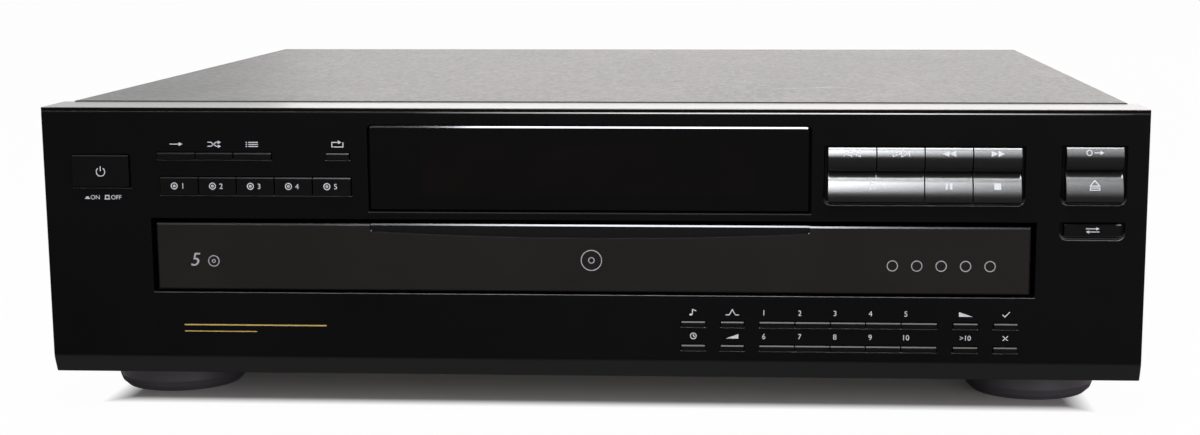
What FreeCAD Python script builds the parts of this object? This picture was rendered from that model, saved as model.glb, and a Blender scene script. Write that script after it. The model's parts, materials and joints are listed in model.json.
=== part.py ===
import FreeCAD, Part
import math
import os

# Five-disc carousel CD changer.  Everything is drawn from the middle of the front panel's
# lower front edge, with X to the right, Y to the back and Z up, and moved at export so
# that the origin lies under the middle of the whole, on the surface the feet stand on.

V = FreeCAD.Vector

# ---- front panel -------------------------------------------------------------------
PANEL_W = 430.0
PANEL_H = 106.0
PANEL_FACE = 3.2            # thickness of the moulded face
PANEL_WALL = 2.5            # thickness of the walls that run back from it
PANEL_FLANGE = 27.0         # how far back those walls run
PANEL_EDGE_R = 1.0
TOP_STEP_H = 1.5            # step along the top of the face
TOP_STEP_BACK = 0.9
TOP_STEP_EDGE = 0.4
FLANGE_EDGE_R = 0.4
BEVEL_H = 6.3               # the lowest band of the face leans back
BEVEL_BACK = 2.6
BEVEL_BEND_R = 8.0
BOSS_R = 2.4

# ---- case --------------------------------------------------------------------------
CASE_DEPTH = 375.0          # panel face to the back of the cover
SHEET = 1.2
COVER_INSET = 3.4           # panel side to cover side
COVER_RISE = 0.4            # cover top above panel top
COVER_SKIRT_Z = 4.0
COVER_LIP = 12.0
COVER_BEND_R = 1.6
SEAM = 0.2                  # gap between case pieces laid edge to edge
PAN_FLANGE_H = 15.0
FOOT_CLEARANCE = 15.0
FOOT_R = 26.5
FOOT_SIDE_GAP = 6.1         # foot to the cover's side
FOOT_FRONT_GAP = 1.5        # front foot to the panel's wall
FOOT_REAR_GAP = 26.5
SCREW_R = 1.45
SCREW_HEAD_R = 3.4
SCREW_HEAD_H = 1.9
SCREW_LENGTH = 6.0
SCREW_HOLE_PLAY = 0.15
VENT_SLOTS = 7              # cooling slots in the pan beside the transformer
VENT_W = 3.0
VENT_L = 36.0
VENT_PITCH = 10.0
VENT_X = 100.0
VENT_REAR_GAP = 62.0
SIDE_SCREW_INSET = 57.0     # from the panel's wall and from the back
SIDE_SCREW_Z = 12.0
REAR_SCREW_INSET = 25.6

# ---- drawer opening and window -----------------------------------------------------
DRAWER_FRONT_W = 342.0
DRAWER_FRONT_Z = 34.1
DRAWER_FRONT_H = 26.4
DRAWER_FRONT_T = 3.6
DRAWER_GAP_SIDE = 2.0
DRAWER_GAP_LOW = 1.1
DRAWER_GAP_TOP = 2.0
COLLAR_T = 1.5
COLLAR_DEPTH = 6.0
WINDOW_W = 172.0            # also the finger recess along the drawer front's top edge
GRIP_END_H = 3.0
GRIP_MID_H = 5.2
GRIP_DEPTH = 1.3
GRIP_CORNER_R = 1.2
DRAWER_FRONT_EDGE = 0.6
WINDOW_Z = 65.7
WINDOW_H = 33.5
WINDOW_T = 1.8
WINDOW_SINK = 0.3
WINDOW_PLAY = 0.2
WINDOW_LEDGE = 3.0
WINDOW_CORNER_R = 2.0
WINDOW_EDGE = 0.8           # polished cut-back edge of the pane

# ---- keys --------------------------------------------------------------------------
KEY_PLAY = 0.3              # key to the edge of its opening
KEY_SPLIT = 0.5             # key to key in one opening
KEY_TRAVEL = 0.8
KEY_LIP_H = 1.0             # lip behind the face that keeps the key in
KEY_LIP_T = 1.5
KEY_EDGE = 0.45
KEY_PROUD = 0.8
POWER_TRAVEL = 4.0
POWER_PROUD = 1.2
FRAME_DEPTH = 1.2           # shallow sunk frame around the larger key groups
FRAME_MARGIN = 1.4
FRAME_CORNER_R = 2.6
RIM_EDGE = 0.35             # cut-back edge around the frames and the window
BULGE_HIGH = 3.4            # how far the curved lower keys stand out
BULGE_LOW = 2.2             # and the row above them
LOWER_KEY_SLOPES = (8.0, 60.0)      # degrees that a curved face turns down and up from its crest
UPPER_KEY_SLOPES = (58.0, 44.0)
TACT_W = 6.0
TACT_H = 4.4
TACT_DEPTH = 3.7
PLUNGER_W = 2.0
PLUNGER_L = 1.2
BOARD_T = 1.6

# ---- drawer, table and discs -------------------------------------------------------
DISC_R = 60.0
WELL_PLAY = 0.5
WELLS = 5
WELL_WEB = 1.3              # between neighbouring wells
TABLE_RIM_CUT = 1.0         # how far a disc's edge reaches past the table's rim
RING_FACE = 4.3             # height of the toothed ring
WELL_DEPTH = 5.5
WELL_FLOOR = 2.2
SMALL_DISC_R = 40.5
SMALL_DISC_DEPTH = 0.9
TABLE_SKIN = 2.0
TABLE_SLOT_W = 50.0
TABLE_SLOT_R = 84.0         # where the slots start, from the table's middle
TABLE_POST_R = 5.0
TABLE_SHOULDER_R = 9.0
TABLE_HUB_R = 14.0
RUNNING_FIT = 0.05          # radial clearance of every shaft in its bore
AIR = 0.3                   # gap between pieces that move past each other
TRAY_RISE = 3.9             # tray floor above the drawer front's lower edge
TRAY_FLOOR_T = 2.0
TRAY_BELOW_TABLE = 1.5
TRAY_WALL = 2.0
TRAY_POCKET_PLAY = 1.5
TRAY_FRONT_WALL = 2.9
TRAY_SIDE_WALL = 2.5
TRAY_REAR_WALL = 1.5
TRAY_SLOT_W = 53.0
RUNNER_H = 3.0
DRAWER_TRAVEL = 245.0

# ---- gears -------------------------------------------------------------------------
PRESSURE_ANGLE = math.radians(20.0)
BACKLASH = 0.24
TABLE_MODULE = 1.25
TABLE_TEETH = 64
TABLE_PINION_TEETH = 16
TABLE_RING_WEB = 4.0
RACK_MODULE = 1.5
LOADING_TEETH = 24
RACK_X = -140.0             # pitch line of the rack
RACK_BACK = 4.0
LOADING_GEAR_Y = 62.0
GEAR_SHAFT_R = 2.0
PINION_SHAFT_R = 1.5
TABLE_MOTOR_R = 13.0
TABLE_MOTOR_RISE = 5.2      # its cup above the tray floor

# ---- mechanism deck ----------------------------------------------------------------
DECK_FRONT_Y = 30.0
DECK_REAR_MARGIN = 9.0      # behind the lift guides
DECK_WALL = 2.6
DECK_FLOOR_Z = 24.0
DECK_FLOOR_T = 2.5
DECK_WALL_RISE = 8.0        # above the tray floor's underside
RAIL_H = 2.6
BRIDGE_LEG = 6.0
BRIDGE_T = 2.5
BRIDGE_W = 34.0
BRIDGE_RIB_H = 3.5
BRIDGE_RING_R = 24.0

# ---- optical unit ------------------------------------------------------------------
DISC_LIFT = 2.7             # underside of a clamped disc above the table
HUB_DROP = 0.7              # lowered hub below the table
BASE_W = 46.0
BASE_FRONT = 17.0           # from the hub's axis forward
BASE_TOP = -4.0             # heights from the disc's underside
BASE_BOTTOM = -14.0
BASE_REAR_BAR = 10.0
GUIDE_PIN_R = 2.5
GUIDE_PIN_X = 17.0
SPINDLE_MOTOR_R = 12.0
SPINDLE_MOTOR_H = 9.0
SPINDLE_R = 1.5
HUB_SEAT_R = 14.0
HUB_CONE_R = 7.4
HUB_CONE_H = 2.4
HUB_T = 2.3
CLAMPER_R = 16.0
CLAMPER_T = 4.3
CLAMPER_NECK_R = 10.0
CLAMPER_FLANGE_R = 13.0
DISC_T = 1.2
PICKUP_W = 33.0
PICKUP_L = 20.0
PICKUP_INNER = 24.5         # lens to the hub's axis at the first track
PICKUP_TRAVEL = 34.0
PICKUP_TOP = -6.0
PICKUP_BOTTOM = -18.0
LENS_R = 4.0
LENS_TOP = -3.2
ROD_R = 1.5
ROD_X = 12.0
ROD_Z = -10.0

# ---- electronics -------------------------------------------------------------------
MAIN_BOARD_W = 123.0
MAIN_BOARD_L = 174.0
MAIN_BOARD_Z = 10.0
MAIN_BOARD_SIDE_GAP = 3.3
MAIN_BOARD_REAR_GAP = 2.6
TRANSFORMER_W = 28.0
TRANSFORMER_L = 56.0
TRANSFORMER_H = 44.0
TRANSFORMER_SIDE_GAP = 2.4
TRANSFORMER_REAR_GAP = 35.0
JACK_X = -130.0
JACK_SPACING = 14.0
JACK_Z = 22.0
JACK_R = 4.15
JACK_REACH = 9.0
JACK_HOLE_R = 1.6
GLAND_INSET = 21.6
GLAND_Z = 20.0
GLAND_R = 6.0
GLAND_BORE_R = 3.4

# ---- sizes worked out from the ones above -------------------------------------------
FLOOR_Z = PANEL_WALL
PAN_TOP = FLOOR_Z + SHEET
COVER_HALF = PANEL_W / 2 - COVER_INSET
COVER_TOP = PANEL_H + COVER_RISE
PAN_HALF = COVER_HALF - SHEET - SEAM
REAR_WALL_Y = CASE_DEPTH - 2 * SHEET
FOOT_X = COVER_HALF - FOOT_SIDE_GAP - FOOT_R
FOOT_FRONT_Y = PANEL_FLANGE + FOOT_FRONT_GAP + FOOT_R
FOOT_REAR_Y = CASE_DEPTH - FOOT_REAR_GAP - FOOT_R
SIDE_SCREW_Y = (PANEL_FLANGE + SIDE_SCREW_INSET, CASE_DEPTH - SIDE_SCREW_INSET)
REAR_SCREW_X = COVER_HALF - REAR_SCREW_INSET
GLAND_X = COVER_HALF - GLAND_INSET

KEY_FRONT_STOP = PANEL_FACE + AIR
KEY_BACK = KEY_FRONT_STOP + KEY_LIP_T
PLUNGER_Y = KEY_BACK + KEY_TRAVEL + AIR
TACT_Y = PLUNGER_Y + PLUNGER_L
BOARD_Y = TACT_Y + TACT_DEPTH
OPENING_HALF = DRAWER_FRONT_W / 2 + DRAWER_GAP_SIDE
OPENING_LOW = DRAWER_FRONT_Z - DRAWER_GAP_LOW
OPENING_TOP = DRAWER_FRONT_Z + DRAWER_FRONT_H + DRAWER_GAP_TOP
WINDOW_TOP = WINDOW_Z + WINDOW_H

# plan of the table and tray
WELL_R = DISC_R + WELL_PLAY
WELL_PITCH_R = (WELL_R + WELL_WEB / 2) / math.sin(math.pi / WELLS)
TABLE_R = WELL_PITCH_R + DISC_R - TABLE_RIM_CUT
TRAY_POCKET_R = TABLE_R + TRAY_POCKET_PLAY
TRAY_HALF = TRAY_POCKET_R + TRAY_SIDE_WALL
RUNNER_HALF = DRAWER_FRONT_W / 2
TABLE_Y = DRAWER_FRONT_T + TRAY_FRONT_WALL + TRAY_POCKET_R
TRAY_REAR_Y = TABLE_Y + TRAY_POCKET_R + TRAY_REAR_WALL
HUB_Y = TABLE_Y + WELL_PITCH_R

# heights, from the tray up to the bridge
TRAY_FLOOR_Z = DRAWER_FRONT_Z + TRAY_RISE
TRAY_FLOOR_TOP = TRAY_FLOOR_Z + TRAY_FLOOR_T
TABLE_MOTOR_BOTTOM_Z = OPENING_LOW + 2 * AIR
PINION_BOTTOM_Z = TRAY_FLOOR_TOP + TABLE_MOTOR_RISE + AIR
TABLE_BOTTOM_Z = PINION_BOTTOM_Z + RING_FACE
WELL_FLOOR_Z = TABLE_BOTTOM_Z + WELL_FLOOR
TABLE_TOP_Z = WELL_FLOOR_Z + WELL_DEPTH
TRAY_TOP_Z = TABLE_TOP_Z - TRAY_BELOW_TABLE
SEAT_RAISED_Z = TABLE_TOP_Z + DISC_LIFT
SEAT_Z = TABLE_BOTTOM_Z - HUB_DROP - HUB_CONE_H
BASE_LIFT = SEAT_RAISED_Z - SEAT_Z
BRIDGE_Z = SEAT_RAISED_Z + DISC_T + CLAMPER_T + AIR
BRIDGE_SEAT_Z = BRIDGE_Z - BRIDGE_LEG

RING_R = TABLE_MODULE * TABLE_TEETH / 2
PINION_R = TABLE_MODULE * TABLE_PINION_TEETH / 2
PINION_X = -(RING_R + PINION_R)
LOADING_R = RACK_MODULE * LOADING_TEETH / 2
LOADING_GEAR_X = RACK_X + LOADING_R
DECK_HALF = RUNNER_HALF + AIR
RAIL_INNER = TRAY_HALF + AIR
PICKUP_START = PICKUP_INNER - PICKUP_L / 2
BASE_HOLE_FRONT = PICKUP_START - 1.0
BASE_HOLE_REAR = PICKUP_START + PICKUP_L + PICKUP_TRAVEL + 2.5
GUIDE_PIN_Y = HUB_Y + BASE_HOLE_REAR + BASE_REAR_BAR / 2
DECK_REAR_Y = GUIDE_PIN_Y + DECK_REAR_MARGIN

MAIN_BOARD_LEFT = -DECK_HALF + MAIN_BOARD_SIDE_GAP
MAIN_BOARD_REAR = REAR_WALL_Y - MAIN_BOARD_REAR_GAP
TRANSFORMER_RIGHT = PAN_HALF - SHEET - TRANSFORMER_SIDE_GAP
TRANSFORMER_REAR = CASE_DEPTH - TRANSFORMER_REAR_GAP
ORIGIN_Y = (CASE_DEPTH + JACK_REACH - BULGE_HIGH) / 2


def box(x0, x1, y0, y1, z0, z1):
    return Part.makeBox(x1 - x0, y1 - y0, z1 - z0, V(x0, y0, z0))


def centred_box(x, z, w, h, y0, y1):
    return box(x - w / 2, x + w / 2, y0, y1, z - h / 2, z + h / 2)


def post(x, y, z0, z1, r):
    return Part.makeCylinder(r, z1 - z0, V(x, y, z0))


def rod_y(x, z, y0, y1, r):
    return Part.makeCylinder(r, y1 - y0, V(x, y0, z), V(0, 1, 0))


def lines(points):
    """Straight edges from each point to the next."""
    return [Part.LineSegment(a, b).toShape() for a, b in zip(points, points[1:])]


def arc(start, middle, end):
    return Part.Arc(start, middle, end).toShape()


def prism(edges, along):
    return Part.Face(Part.Wire(edges)).extrude(along)


def extrude(points, along):
    return prism(lines(points + points[:1]), along)


def extrude_x(outline, x0, x1):
    """Solid between x0 and x1 with the given outline of (y, z) points."""
    return extrude([V(x0, y, z) for y, z in outline], V(x1 - x0, 0, 0))


def extrude_y(outline, y0, y1):
    return extrude([V(x, y0, z) for x, z in outline], V(0, y1 - y0, 0))


def extrude_z(outline, z0, z1):
    return extrude([V(x, y, z0) for x, y in outline], V(0, 0, z1 - z0))


def turn(outline, x, y):
    """Solid of revolution about the vertical through (x, y), from (radius, z) points."""
    points = [V(x + r, y, z) for r, z in outline]
    face = Part.Face(Part.makePolygon(points + points[:1]))
    return face.revolve(V(x, y, 0), V(0, 0, 1), 360)


def mirror_x(shape):
    return shape.mirror(V(0, 0, 0), V(1, 0, 0))


def both_sides(shape):
    return [shape, mirror_x(shape)]


def fuse(shapes):
    return shapes[0].multiFuse(shapes[1:]).removeSplitter()


def cut(shape, tools):
    return shape.cut(Part.makeCompound(tools)) if tools else shape


def fillet(shape, radius, chosen):
    """Rounds the edges whose bounding box passes the test."""
    return shape.makeFillet(radius, [e for e in shape.Edges if chosen(e.BoundBox)])


def chamfer(shape, size, chosen):
    return shape.makeChamfer(size, [e for e in shape.Edges if chosen(e.BoundBox)])


def along_x(b):
    return b.YLength < 1e-3 and b.ZLength < 1e-3


def along_y(b):
    return b.XLength < 1e-3 and b.ZLength < 1e-3


def along_z(b):
    return b.XLength < 1e-3 and b.YLength < 1e-3


# ---- keys ----------------------------------------------------------------------------

class KeyRow:
    """Keys side by side in one opening; spans says how many steps wide each one is."""

    def __init__(self, names, left, right, low, high, face, spans=None, lips=(True, True)):
        self.names = names
        self.left = left
        self.right = right
        self.low = low
        self.high = high
        self.face = face
        self.spans = spans or [1] * len(names)
        self.lips = lips

    def places(self):
        step = (self.right - self.left) / sum(self.spans)
        x = self.left
        for name, span in zip(self.names, self.spans):
            start = x if x == self.left else x + KEY_SPLIT / 2
            x += span * step
            end = x if name == self.names[-1] else x - KEY_SPLIT / 2
            yield name, start, end


def ledge_face(low, high):
    """Flat face with its upper edge cut back, seen as a thin bright line."""
    y = -KEY_PROUD
    return lines([V(0, y, low), V(0, y, high - KEY_EDGE), V(0, y + KEY_EDGE, high)])


def power_face(low, high):
    edge = KEY_EDGE
    y = -POWER_PROUD
    return lines([V(0, y + edge, low), V(0, y, low + edge), V(0, y, high - edge), V(0, y + edge, high)])


def swelling_face(low, high, proud, slopes):
    """Round face about a level axis: its slopes are those at its lower and upper edge."""
    down, up = (math.radians(slope) for slope in slopes)
    radius = (high - low) / (math.sin(down) + math.sin(up))

    def at(slope):
        y = radius * (1 - math.cos(slope)) - proud
        return V(0, y, low + radius * (math.sin(down) + math.sin(slope)))

    return [arc(at(-down), at((up - down) / 2), at(up))]


def lower_bulge(low, high):
    """Swells out of the valley between the rows towards its lower edge."""
    return swelling_face(low, high, BULGE_HIGH, LOWER_KEY_SLOPES)


def upper_bulge(low, high):
    """Turns down and back into the valley."""
    return swelling_face(low, high, BULGE_LOW, UPPER_KEY_SLOPES)


NUMBER_NAMES = ["number_%d_key" % n for n in range(1, 11)]
DISC_NAMES = ["disc_%d_key" % n for n in range(1, WELLS + 1)]
MODE_NAMES = ["continue_key", "shuffle_key", "program_key"]
PLAY_NAMES = ["play_key", "pause_key", "stop_key"]
SEEK_NAMES = ["previous_track_key", "next_track_key", "rewind_key", "fast_forward_key"]

UPPER_LINE = (85.9, 88.4)
DISC_LINE = (71.9, 78.8)
SEEK_LINE = (82.2, 91.3)
PLAY_LINE = (70.7, 81.9)
SMALL_LINE_1 = (20.7, 22.8)
SMALL_LINE_2 = (11.3, 13.4)
TRANSPORT = (92.8, 166.5)
SIDE_KEYS = (183.5, 205.0)
NUMBERS = (66.8, 135.5)
ONLY_TOP = (False, True)
ONLY_BOTTOM = (True, False)

KEY_ROWS = [
    KeyRow(["power_button"], -203.0, -180.6, 74.7, 87.4, power_face),
    KeyRow(MODE_NAMES, -169.0, -124.1, *UPPER_LINE, ledge_face),
    KeyRow(["repeat_key"], -102.3, -93.4, *UPPER_LINE, ledge_face),
    KeyRow(DISC_NAMES, -168.3, -93.0, *DISC_LINE, ledge_face),
    KeyRow(SEEK_NAMES, *TRANSPORT, *SEEK_LINE, upper_bulge, lips=ONLY_TOP),
    KeyRow(PLAY_NAMES, *TRANSPORT, *PLAY_LINE, lower_bulge, [2, 1, 1], ONLY_BOTTOM),
    KeyRow(["disc_skip_key"], *SIDE_KEYS, 82.9, 91.7, upper_bulge, lips=ONLY_TOP),
    KeyRow(["open_close_key"], *SIDE_KEYS, 71.1, 82.6, lower_bulge, lips=ONLY_BOTTOM),
    KeyRow(["exchange_key"], *SIDE_KEYS, 57.5, 62.1, ledge_face),
    KeyRow(NUMBER_NAMES[:5], *NUMBERS, *SMALL_LINE_1, ledge_face),
    KeyRow(NUMBER_NAMES[5:], *NUMBERS, *SMALL_LINE_2, ledge_face),
]
for upper_name, lower_name, left, right in (
    ("music_scan_key", "time_key", 36.3, 45.4),
    ("peak_search_key", "fader_key", 51.7, 60.5),
    ("edit_fade_key", "over_10_key", 142.1, 151.3),
    ("check_key", "clear_key", 157.7, 166.7),
):
    KEY_ROWS.append(KeyRow([upper_name], left, right, *SMALL_LINE_1, ledge_face))
    KEY_ROWS.append(KeyRow([lower_name], left, right, *SMALL_LINE_2, ledge_face))

# Sunk frames: left, right, bottom and top of the key group inside
FRAMES = [
    (*TRANSPORT, PLAY_LINE[0], SEEK_LINE[1]),
    (*SIDE_KEYS, 71.1, 91.7),
    (*SIDE_KEYS, 57.5, 62.1),
]


def key_solid(row, x0, x1):
    face = row.face(row.low, row.high)
    low_lip, top_lip = row.lips
    back = []
    if top_lip:
        back += [(KEY_FRONT_STOP, row.high), (KEY_FRONT_STOP, row.high + KEY_LIP_H)]
    back.append((KEY_BACK, row.high + KEY_LIP_H * top_lip))
    back.append((KEY_BACK, row.low - KEY_LIP_H * low_lip))
    if low_lip:
        back += [(KEY_FRONT_STOP, row.low - KEY_LIP_H), (KEY_FRONT_STOP, row.low)]
    top = face[-1].Vertexes[-1].Point
    bottom = face[0].Vertexes[0].Point
    solid = prism(face + lines([top] + [V(0, y, z) for y, z in back] + [bottom]), V(x1 - x0, 0, 0))
    solid.translate(V(x0, 0, 0))
    return solid


def make_keys():
    return {name: key_solid(row, x0, x1) for row in KEY_ROWS for name, x0, x1 in row.places()}


# ---- front panel ------------------------------------------------------------------------

BOSS_SPOTS = [(side * x, PANEL_H - 7) for side in (-1, 1) for x in (112, PANEL_W / 2 - 10)]
BOSS_SPOTS += [(56, OPENING_LOW - 5), (154, OPENING_LOW - 5)]


def key_openings():
    tools = []
    for row in KEY_ROWS:
        x0, x1 = row.left - KEY_PLAY, row.right + KEY_PLAY
        z0 = row.low - KEY_PLAY
        z1 = row.high + KEY_PLAY
        tools.append(box(x0, x1, -1, PANEL_FACE + 1, z0, z1))
    return tools


def flared(block, face_y, size):
    """Block with its back edges cut at 45 degrees, which flares the opening that it cuts."""
    return chamfer(block, size, lambda b: b.YMin > face_y + size - 0.01)


def frame_block(x0, x1, z0, z1, y1, margin, corner_r):
    block = box(x0 - margin, x1 + margin, -1, y1, z0 - margin, z1 + KEY_PLAY)
    low = z0 - margin
    return fillet(block, corner_r, lambda b: along_y(b) and b.ZMin < low + 0.01)


def sunk_frame(x0, x1, z0, z1):
    edge = RIM_EDGE
    pocket = frame_block(x0, x1, z0, z1, FRAME_DEPTH, FRAME_MARGIN, FRAME_CORNER_R)
    rim = frame_block(x0, x1, z0, z1 + edge, edge, FRAME_MARGIN + edge, FRAME_CORNER_R + edge)
    return [pocket, flared(rim, 0, edge)]


def window_block(grow, y0, y1, corner_r):
    half = WINDOW_W / 2 + grow
    block = box(-half, half, y0, y1, WINDOW_Z - grow, WINDOW_TOP + grow)
    top = WINDOW_TOP + grow
    return fillet(block, corner_r, lambda b: along_y(b) and b.ZMax > top - 0.01)


def front_panel():
    h = PANEL_H
    back = PANEL_FLANGE
    step = h - TOP_STEP_H
    outline = [(back, 0), (BEVEL_BACK, 0), (0, BEVEL_H), (0, step), (TOP_STEP_BACK, step)]
    outline += [(TOP_STEP_BACK, h), (back, h)]
    outer = extrude_x(outline, -PANEL_W / 2, PANEL_W / 2)
    outer = fillet(outer, BEVEL_BEND_R, lambda b: along_x(b) and abs(b.ZMin - BEVEL_H) < 0.01)
    outer = fillet(outer, PANEL_EDGE_R, lambda b: b.YMax < 0.01 and along_z(b) and b.ZLength > h / 2)
    outer = fillet(outer, FLANGE_EDGE_R, lambda b: along_x(b) and b.ZMin > h - 0.01 and b.YMax < back / 2)
    outer = chamfer(
        outer,
        TOP_STEP_EDGE,
        lambda b: b.ZMin > step - 0.01 and b.ZMax < step + 0.01 and b.YMin < 0.01 and b.XLength > h,
    )
    w = PANEL_WALL
    f = PANEL_FACE
    hollow = extrude_x(
        [(back + 1, w), (f + BEVEL_BACK, w), (f, BEVEL_H + w), (f, h - w), (back + 1, h - w)],
        -PANEL_W / 2 + w,
        PANEL_W / 2 - w,
    )
    shell = outer.cut(hollow)
    collar = box(
        -OPENING_HALF - COLLAR_T, OPENING_HALF + COLLAR_T,
        f, f + COLLAR_DEPTH, OPENING_LOW - COLLAR_T, OPENING_TOP + COLLAR_T,
    )
    bosses = [rod_y(x, z, f, BOARD_Y, BOSS_R) for x, z in BOSS_SPOTS]
    shell = fuse([shell, collar] + bosses)
    tools = [box(-OPENING_HALF, OPENING_HALF, -1, f + COLLAR_DEPTH + 1, OPENING_LOW, OPENING_TOP)]
    tools += key_openings()
    for frame in FRAMES:
        tools += sunk_frame(*frame)
    tools.append(window_block(WINDOW_PLAY, -1, WINDOW_SINK + WINDOW_T, WINDOW_CORNER_R))
    rim = window_block(WINDOW_PLAY + RIM_EDGE, -1, RIM_EDGE, WINDOW_CORNER_R + RIM_EDGE)
    tools.append(flared(rim, 0, RIM_EDGE))
    half = WINDOW_W / 2 - WINDOW_LEDGE
    tools.append(box(-half, half, 0, f + 1, WINDOW_Z + WINDOW_LEDGE, WINDOW_TOP - WINDOW_LEDGE))
    return cut(shell, tools)


def display_window():
    y0 = WINDOW_SINK
    pane = window_block(0, y0, y0 + WINDOW_T, WINDOW_CORNER_R)
    return chamfer(pane, WINDOW_EDGE, lambda b: b.YMax < y0 + 0.01)


def drawer_front():
    half = DRAWER_FRONT_W / 2
    z0 = DRAWER_FRONT_Z
    z1 = z0 + DRAWER_FRONT_H
    plate = box(-half, half, 0, DRAWER_FRONT_T, z0, z1)
    plate = chamfer(plate, DRAWER_FRONT_EDGE, lambda b: b.YMax < 0.01)
    grip = WINDOW_W / 2
    left = V(-grip, -1, z1 - GRIP_END_H)
    right = V(grip, -1, z1 - GRIP_END_H)
    sides = lines([right, V(grip, -1, z1 + 1), V(-grip, -1, z1 + 1), left])
    recess = prism([arc(left, V(0, -1, z1 - GRIP_MID_H), right)] + sides, V(0, 1 + GRIP_DEPTH, 0))
    recess = fillet(recess, GRIP_CORNER_R, lambda b: along_y(b) and b.ZMax < z1)
    front = plate.cut(recess)
    return chamfer(
        front,
        DRAWER_FRONT_EDGE,
        lambda b: along_x(b) and b.ZMin > z1 - 0.01 and abs(b.YMin - GRIP_DEPTH) < 0.01,
    )


# ---- case -------------------------------------------------------------------------------

def top_cover():
    half = COVER_HALF
    y0 = PANEL_FLANGE + SEAM
    y1 = CASE_DEPTH
    top = COVER_TOP
    low = COVER_SKIRT_Z
    shell = box(-half, half, y0, y1, low, top)
    shell = fillet(shell, COVER_BEND_R, lambda b: along_y(b) and b.ZMin > top - 0.01)
    tools = [
        box(-half + SHEET, half - SHEET, y0 - 1, y1 - SHEET, low - 1, top - SHEET),
        box(-half + SHEET, half - SHEET, y1 - SHEET - 1, y1 + 1, low - 1, top - COVER_LIP),
    ]
    return cut(shell, tools + screw_holes())


def chassis_pan():
    half = PAN_HALF
    rear = REAR_WALL_Y + SHEET
    floor = box(-half, half, BOARD_Y + BOARD_T + 1, rear, FLOOR_Z, PAN_TOP)
    flange = box(half - SHEET, half, PANEL_FLANGE + 2, rear - SHEET, FLOOR_Z, FLOOR_Z + PAN_FLANGE_H)
    wall = box(-half, half, REAR_WALL_Y, rear, FLOOR_Z, COVER_TOP - SHEET - SEAM)
    x0 = MAIN_BOARD_LEFT
    y1 = MAIN_BOARD_REAR
    stands = [
        post(x, y, PAN_TOP, MAIN_BOARD_Z, 3.0)
        for x in (x0 + 6, x0 + MAIN_BOARD_W - 6)
        for y in (y1 - MAIN_BOARD_L + 6, y1 - 24)
    ]
    pan = fuse([floor, wall] + both_sides(flange) + stands)
    tools = [rod_y(GLAND_X, GLAND_Z, REAR_WALL_Y - 1, rear + 1, GLAND_R + 0.1)]
    for side in (-1, 1):
        x = JACK_X + side * JACK_SPACING / 2
        tools.append(rod_y(x, JACK_Z, REAR_WALL_Y - 1, rear + 1, JACK_R + 1.1))
    vent_rear = REAR_WALL_Y - VENT_REAR_GAP
    for n in range(VENT_SLOTS):
        x = VENT_X + (n - VENT_SLOTS / 2) * VENT_PITCH
        tools.append(box(x, x + VENT_W, vent_rear - VENT_L, vent_rear, FLOOR_Z - 1, PAN_TOP + 1))
    return cut(pan, tools + screw_holes())


def feet():
    top = FLOOR_Z
    low = -FOOT_CLEARANCE
    r = FOOT_R
    outline = [(0, top), (r, top), (r, low + 4.5), (r - 0.9, low + 2.0), (r - 3.0, low), (0, low)]
    places = [(side * FOOT_X, y) for side in (-1, 1) for y in (FOOT_FRONT_Y, FOOT_REAR_Y)]
    return Part.makeCompound([turn(outline, x, y) for x, y in places])


def screw_places():
    """Head seat and direction into the case of each cover screw."""
    places = []
    for y in SIDE_SCREW_Y:
        places.append((V(COVER_HALF, y, SIDE_SCREW_Z), V(-1, 0, 0)))
        places.append((V(-COVER_HALF, y, SIDE_SCREW_Z), V(1, 0, 0)))
    for x in (-REAR_SCREW_X, REAR_SCREW_X):
        places.append((V(x, CASE_DEPTH, COVER_TOP - COVER_LIP / 2), V(0, -1, 0)))
    return places


def screw_holes():
    r = SCREW_R + SCREW_HOLE_PLAY
    return [Part.makeCylinder(r, SCREW_LENGTH + 1, seat - way, way) for seat, way in screw_places()]


def case_screws():
    outline = [
        (0, -SCREW_HEAD_H), (SCREW_HEAD_R - 0.8, -SCREW_HEAD_H), (SCREW_HEAD_R, 0.8 - SCREW_HEAD_H),
        (SCREW_HEAD_R, 0), (SCREW_R, 0), (SCREW_R, SCREW_LENGTH), (0, SCREW_LENGTH),
    ]
    screws = []
    for seat, way in screw_places():
        screw = turn(outline, 0, 0)
        screw.Placement = FreeCAD.Placement(seat, FreeCAD.Rotation(V(0, 0, 1), way))
        screws.append(screw)
    return Part.makeCompound(screws)


# ---- electronics ---------------------------------------------------------------------------

def switch_board():
    y0 = BOARD_Y
    y1 = BOARD_Y + BOARD_T
    edge = PANEL_W / 2 - PANEL_WALL - 3.5
    low = BEVEL_H + 2.0
    top = PANEL_H - PANEL_WALL - 1.5
    gap = COLLAR_T + 1.0
    strips = [
        box(-edge, edge, y0, y1, OPENING_TOP + gap, top),
        box(OPENING_HALF + gap, edge, y0, y1, low, top),
        box(30, edge, y0, y1, low, OPENING_LOW - gap),
    ]
    tube = box(-62, 62, KEY_BACK, y0, WINDOW_Z + 8, WINDOW_TOP - 6)
    parts = strips + [tube]
    for row in KEY_ROWS:
        z = (row.low + row.high) / 2
        for name, x0, x1 in row.places():
            x = (x0 + x1) / 2
            if name == "power_button":
                parts.append(rod_y(x, z, KEY_BACK + POWER_TRAVEL + AIR, y0, 3.0))
            else:
                parts.append(centred_box(x, z, TACT_W, TACT_H, TACT_Y, y0))
                parts.append(centred_box(x, z, PLUNGER_W, PLUNGER_W, PLUNGER_Y, TACT_Y))
    return fuse(parts)


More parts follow.
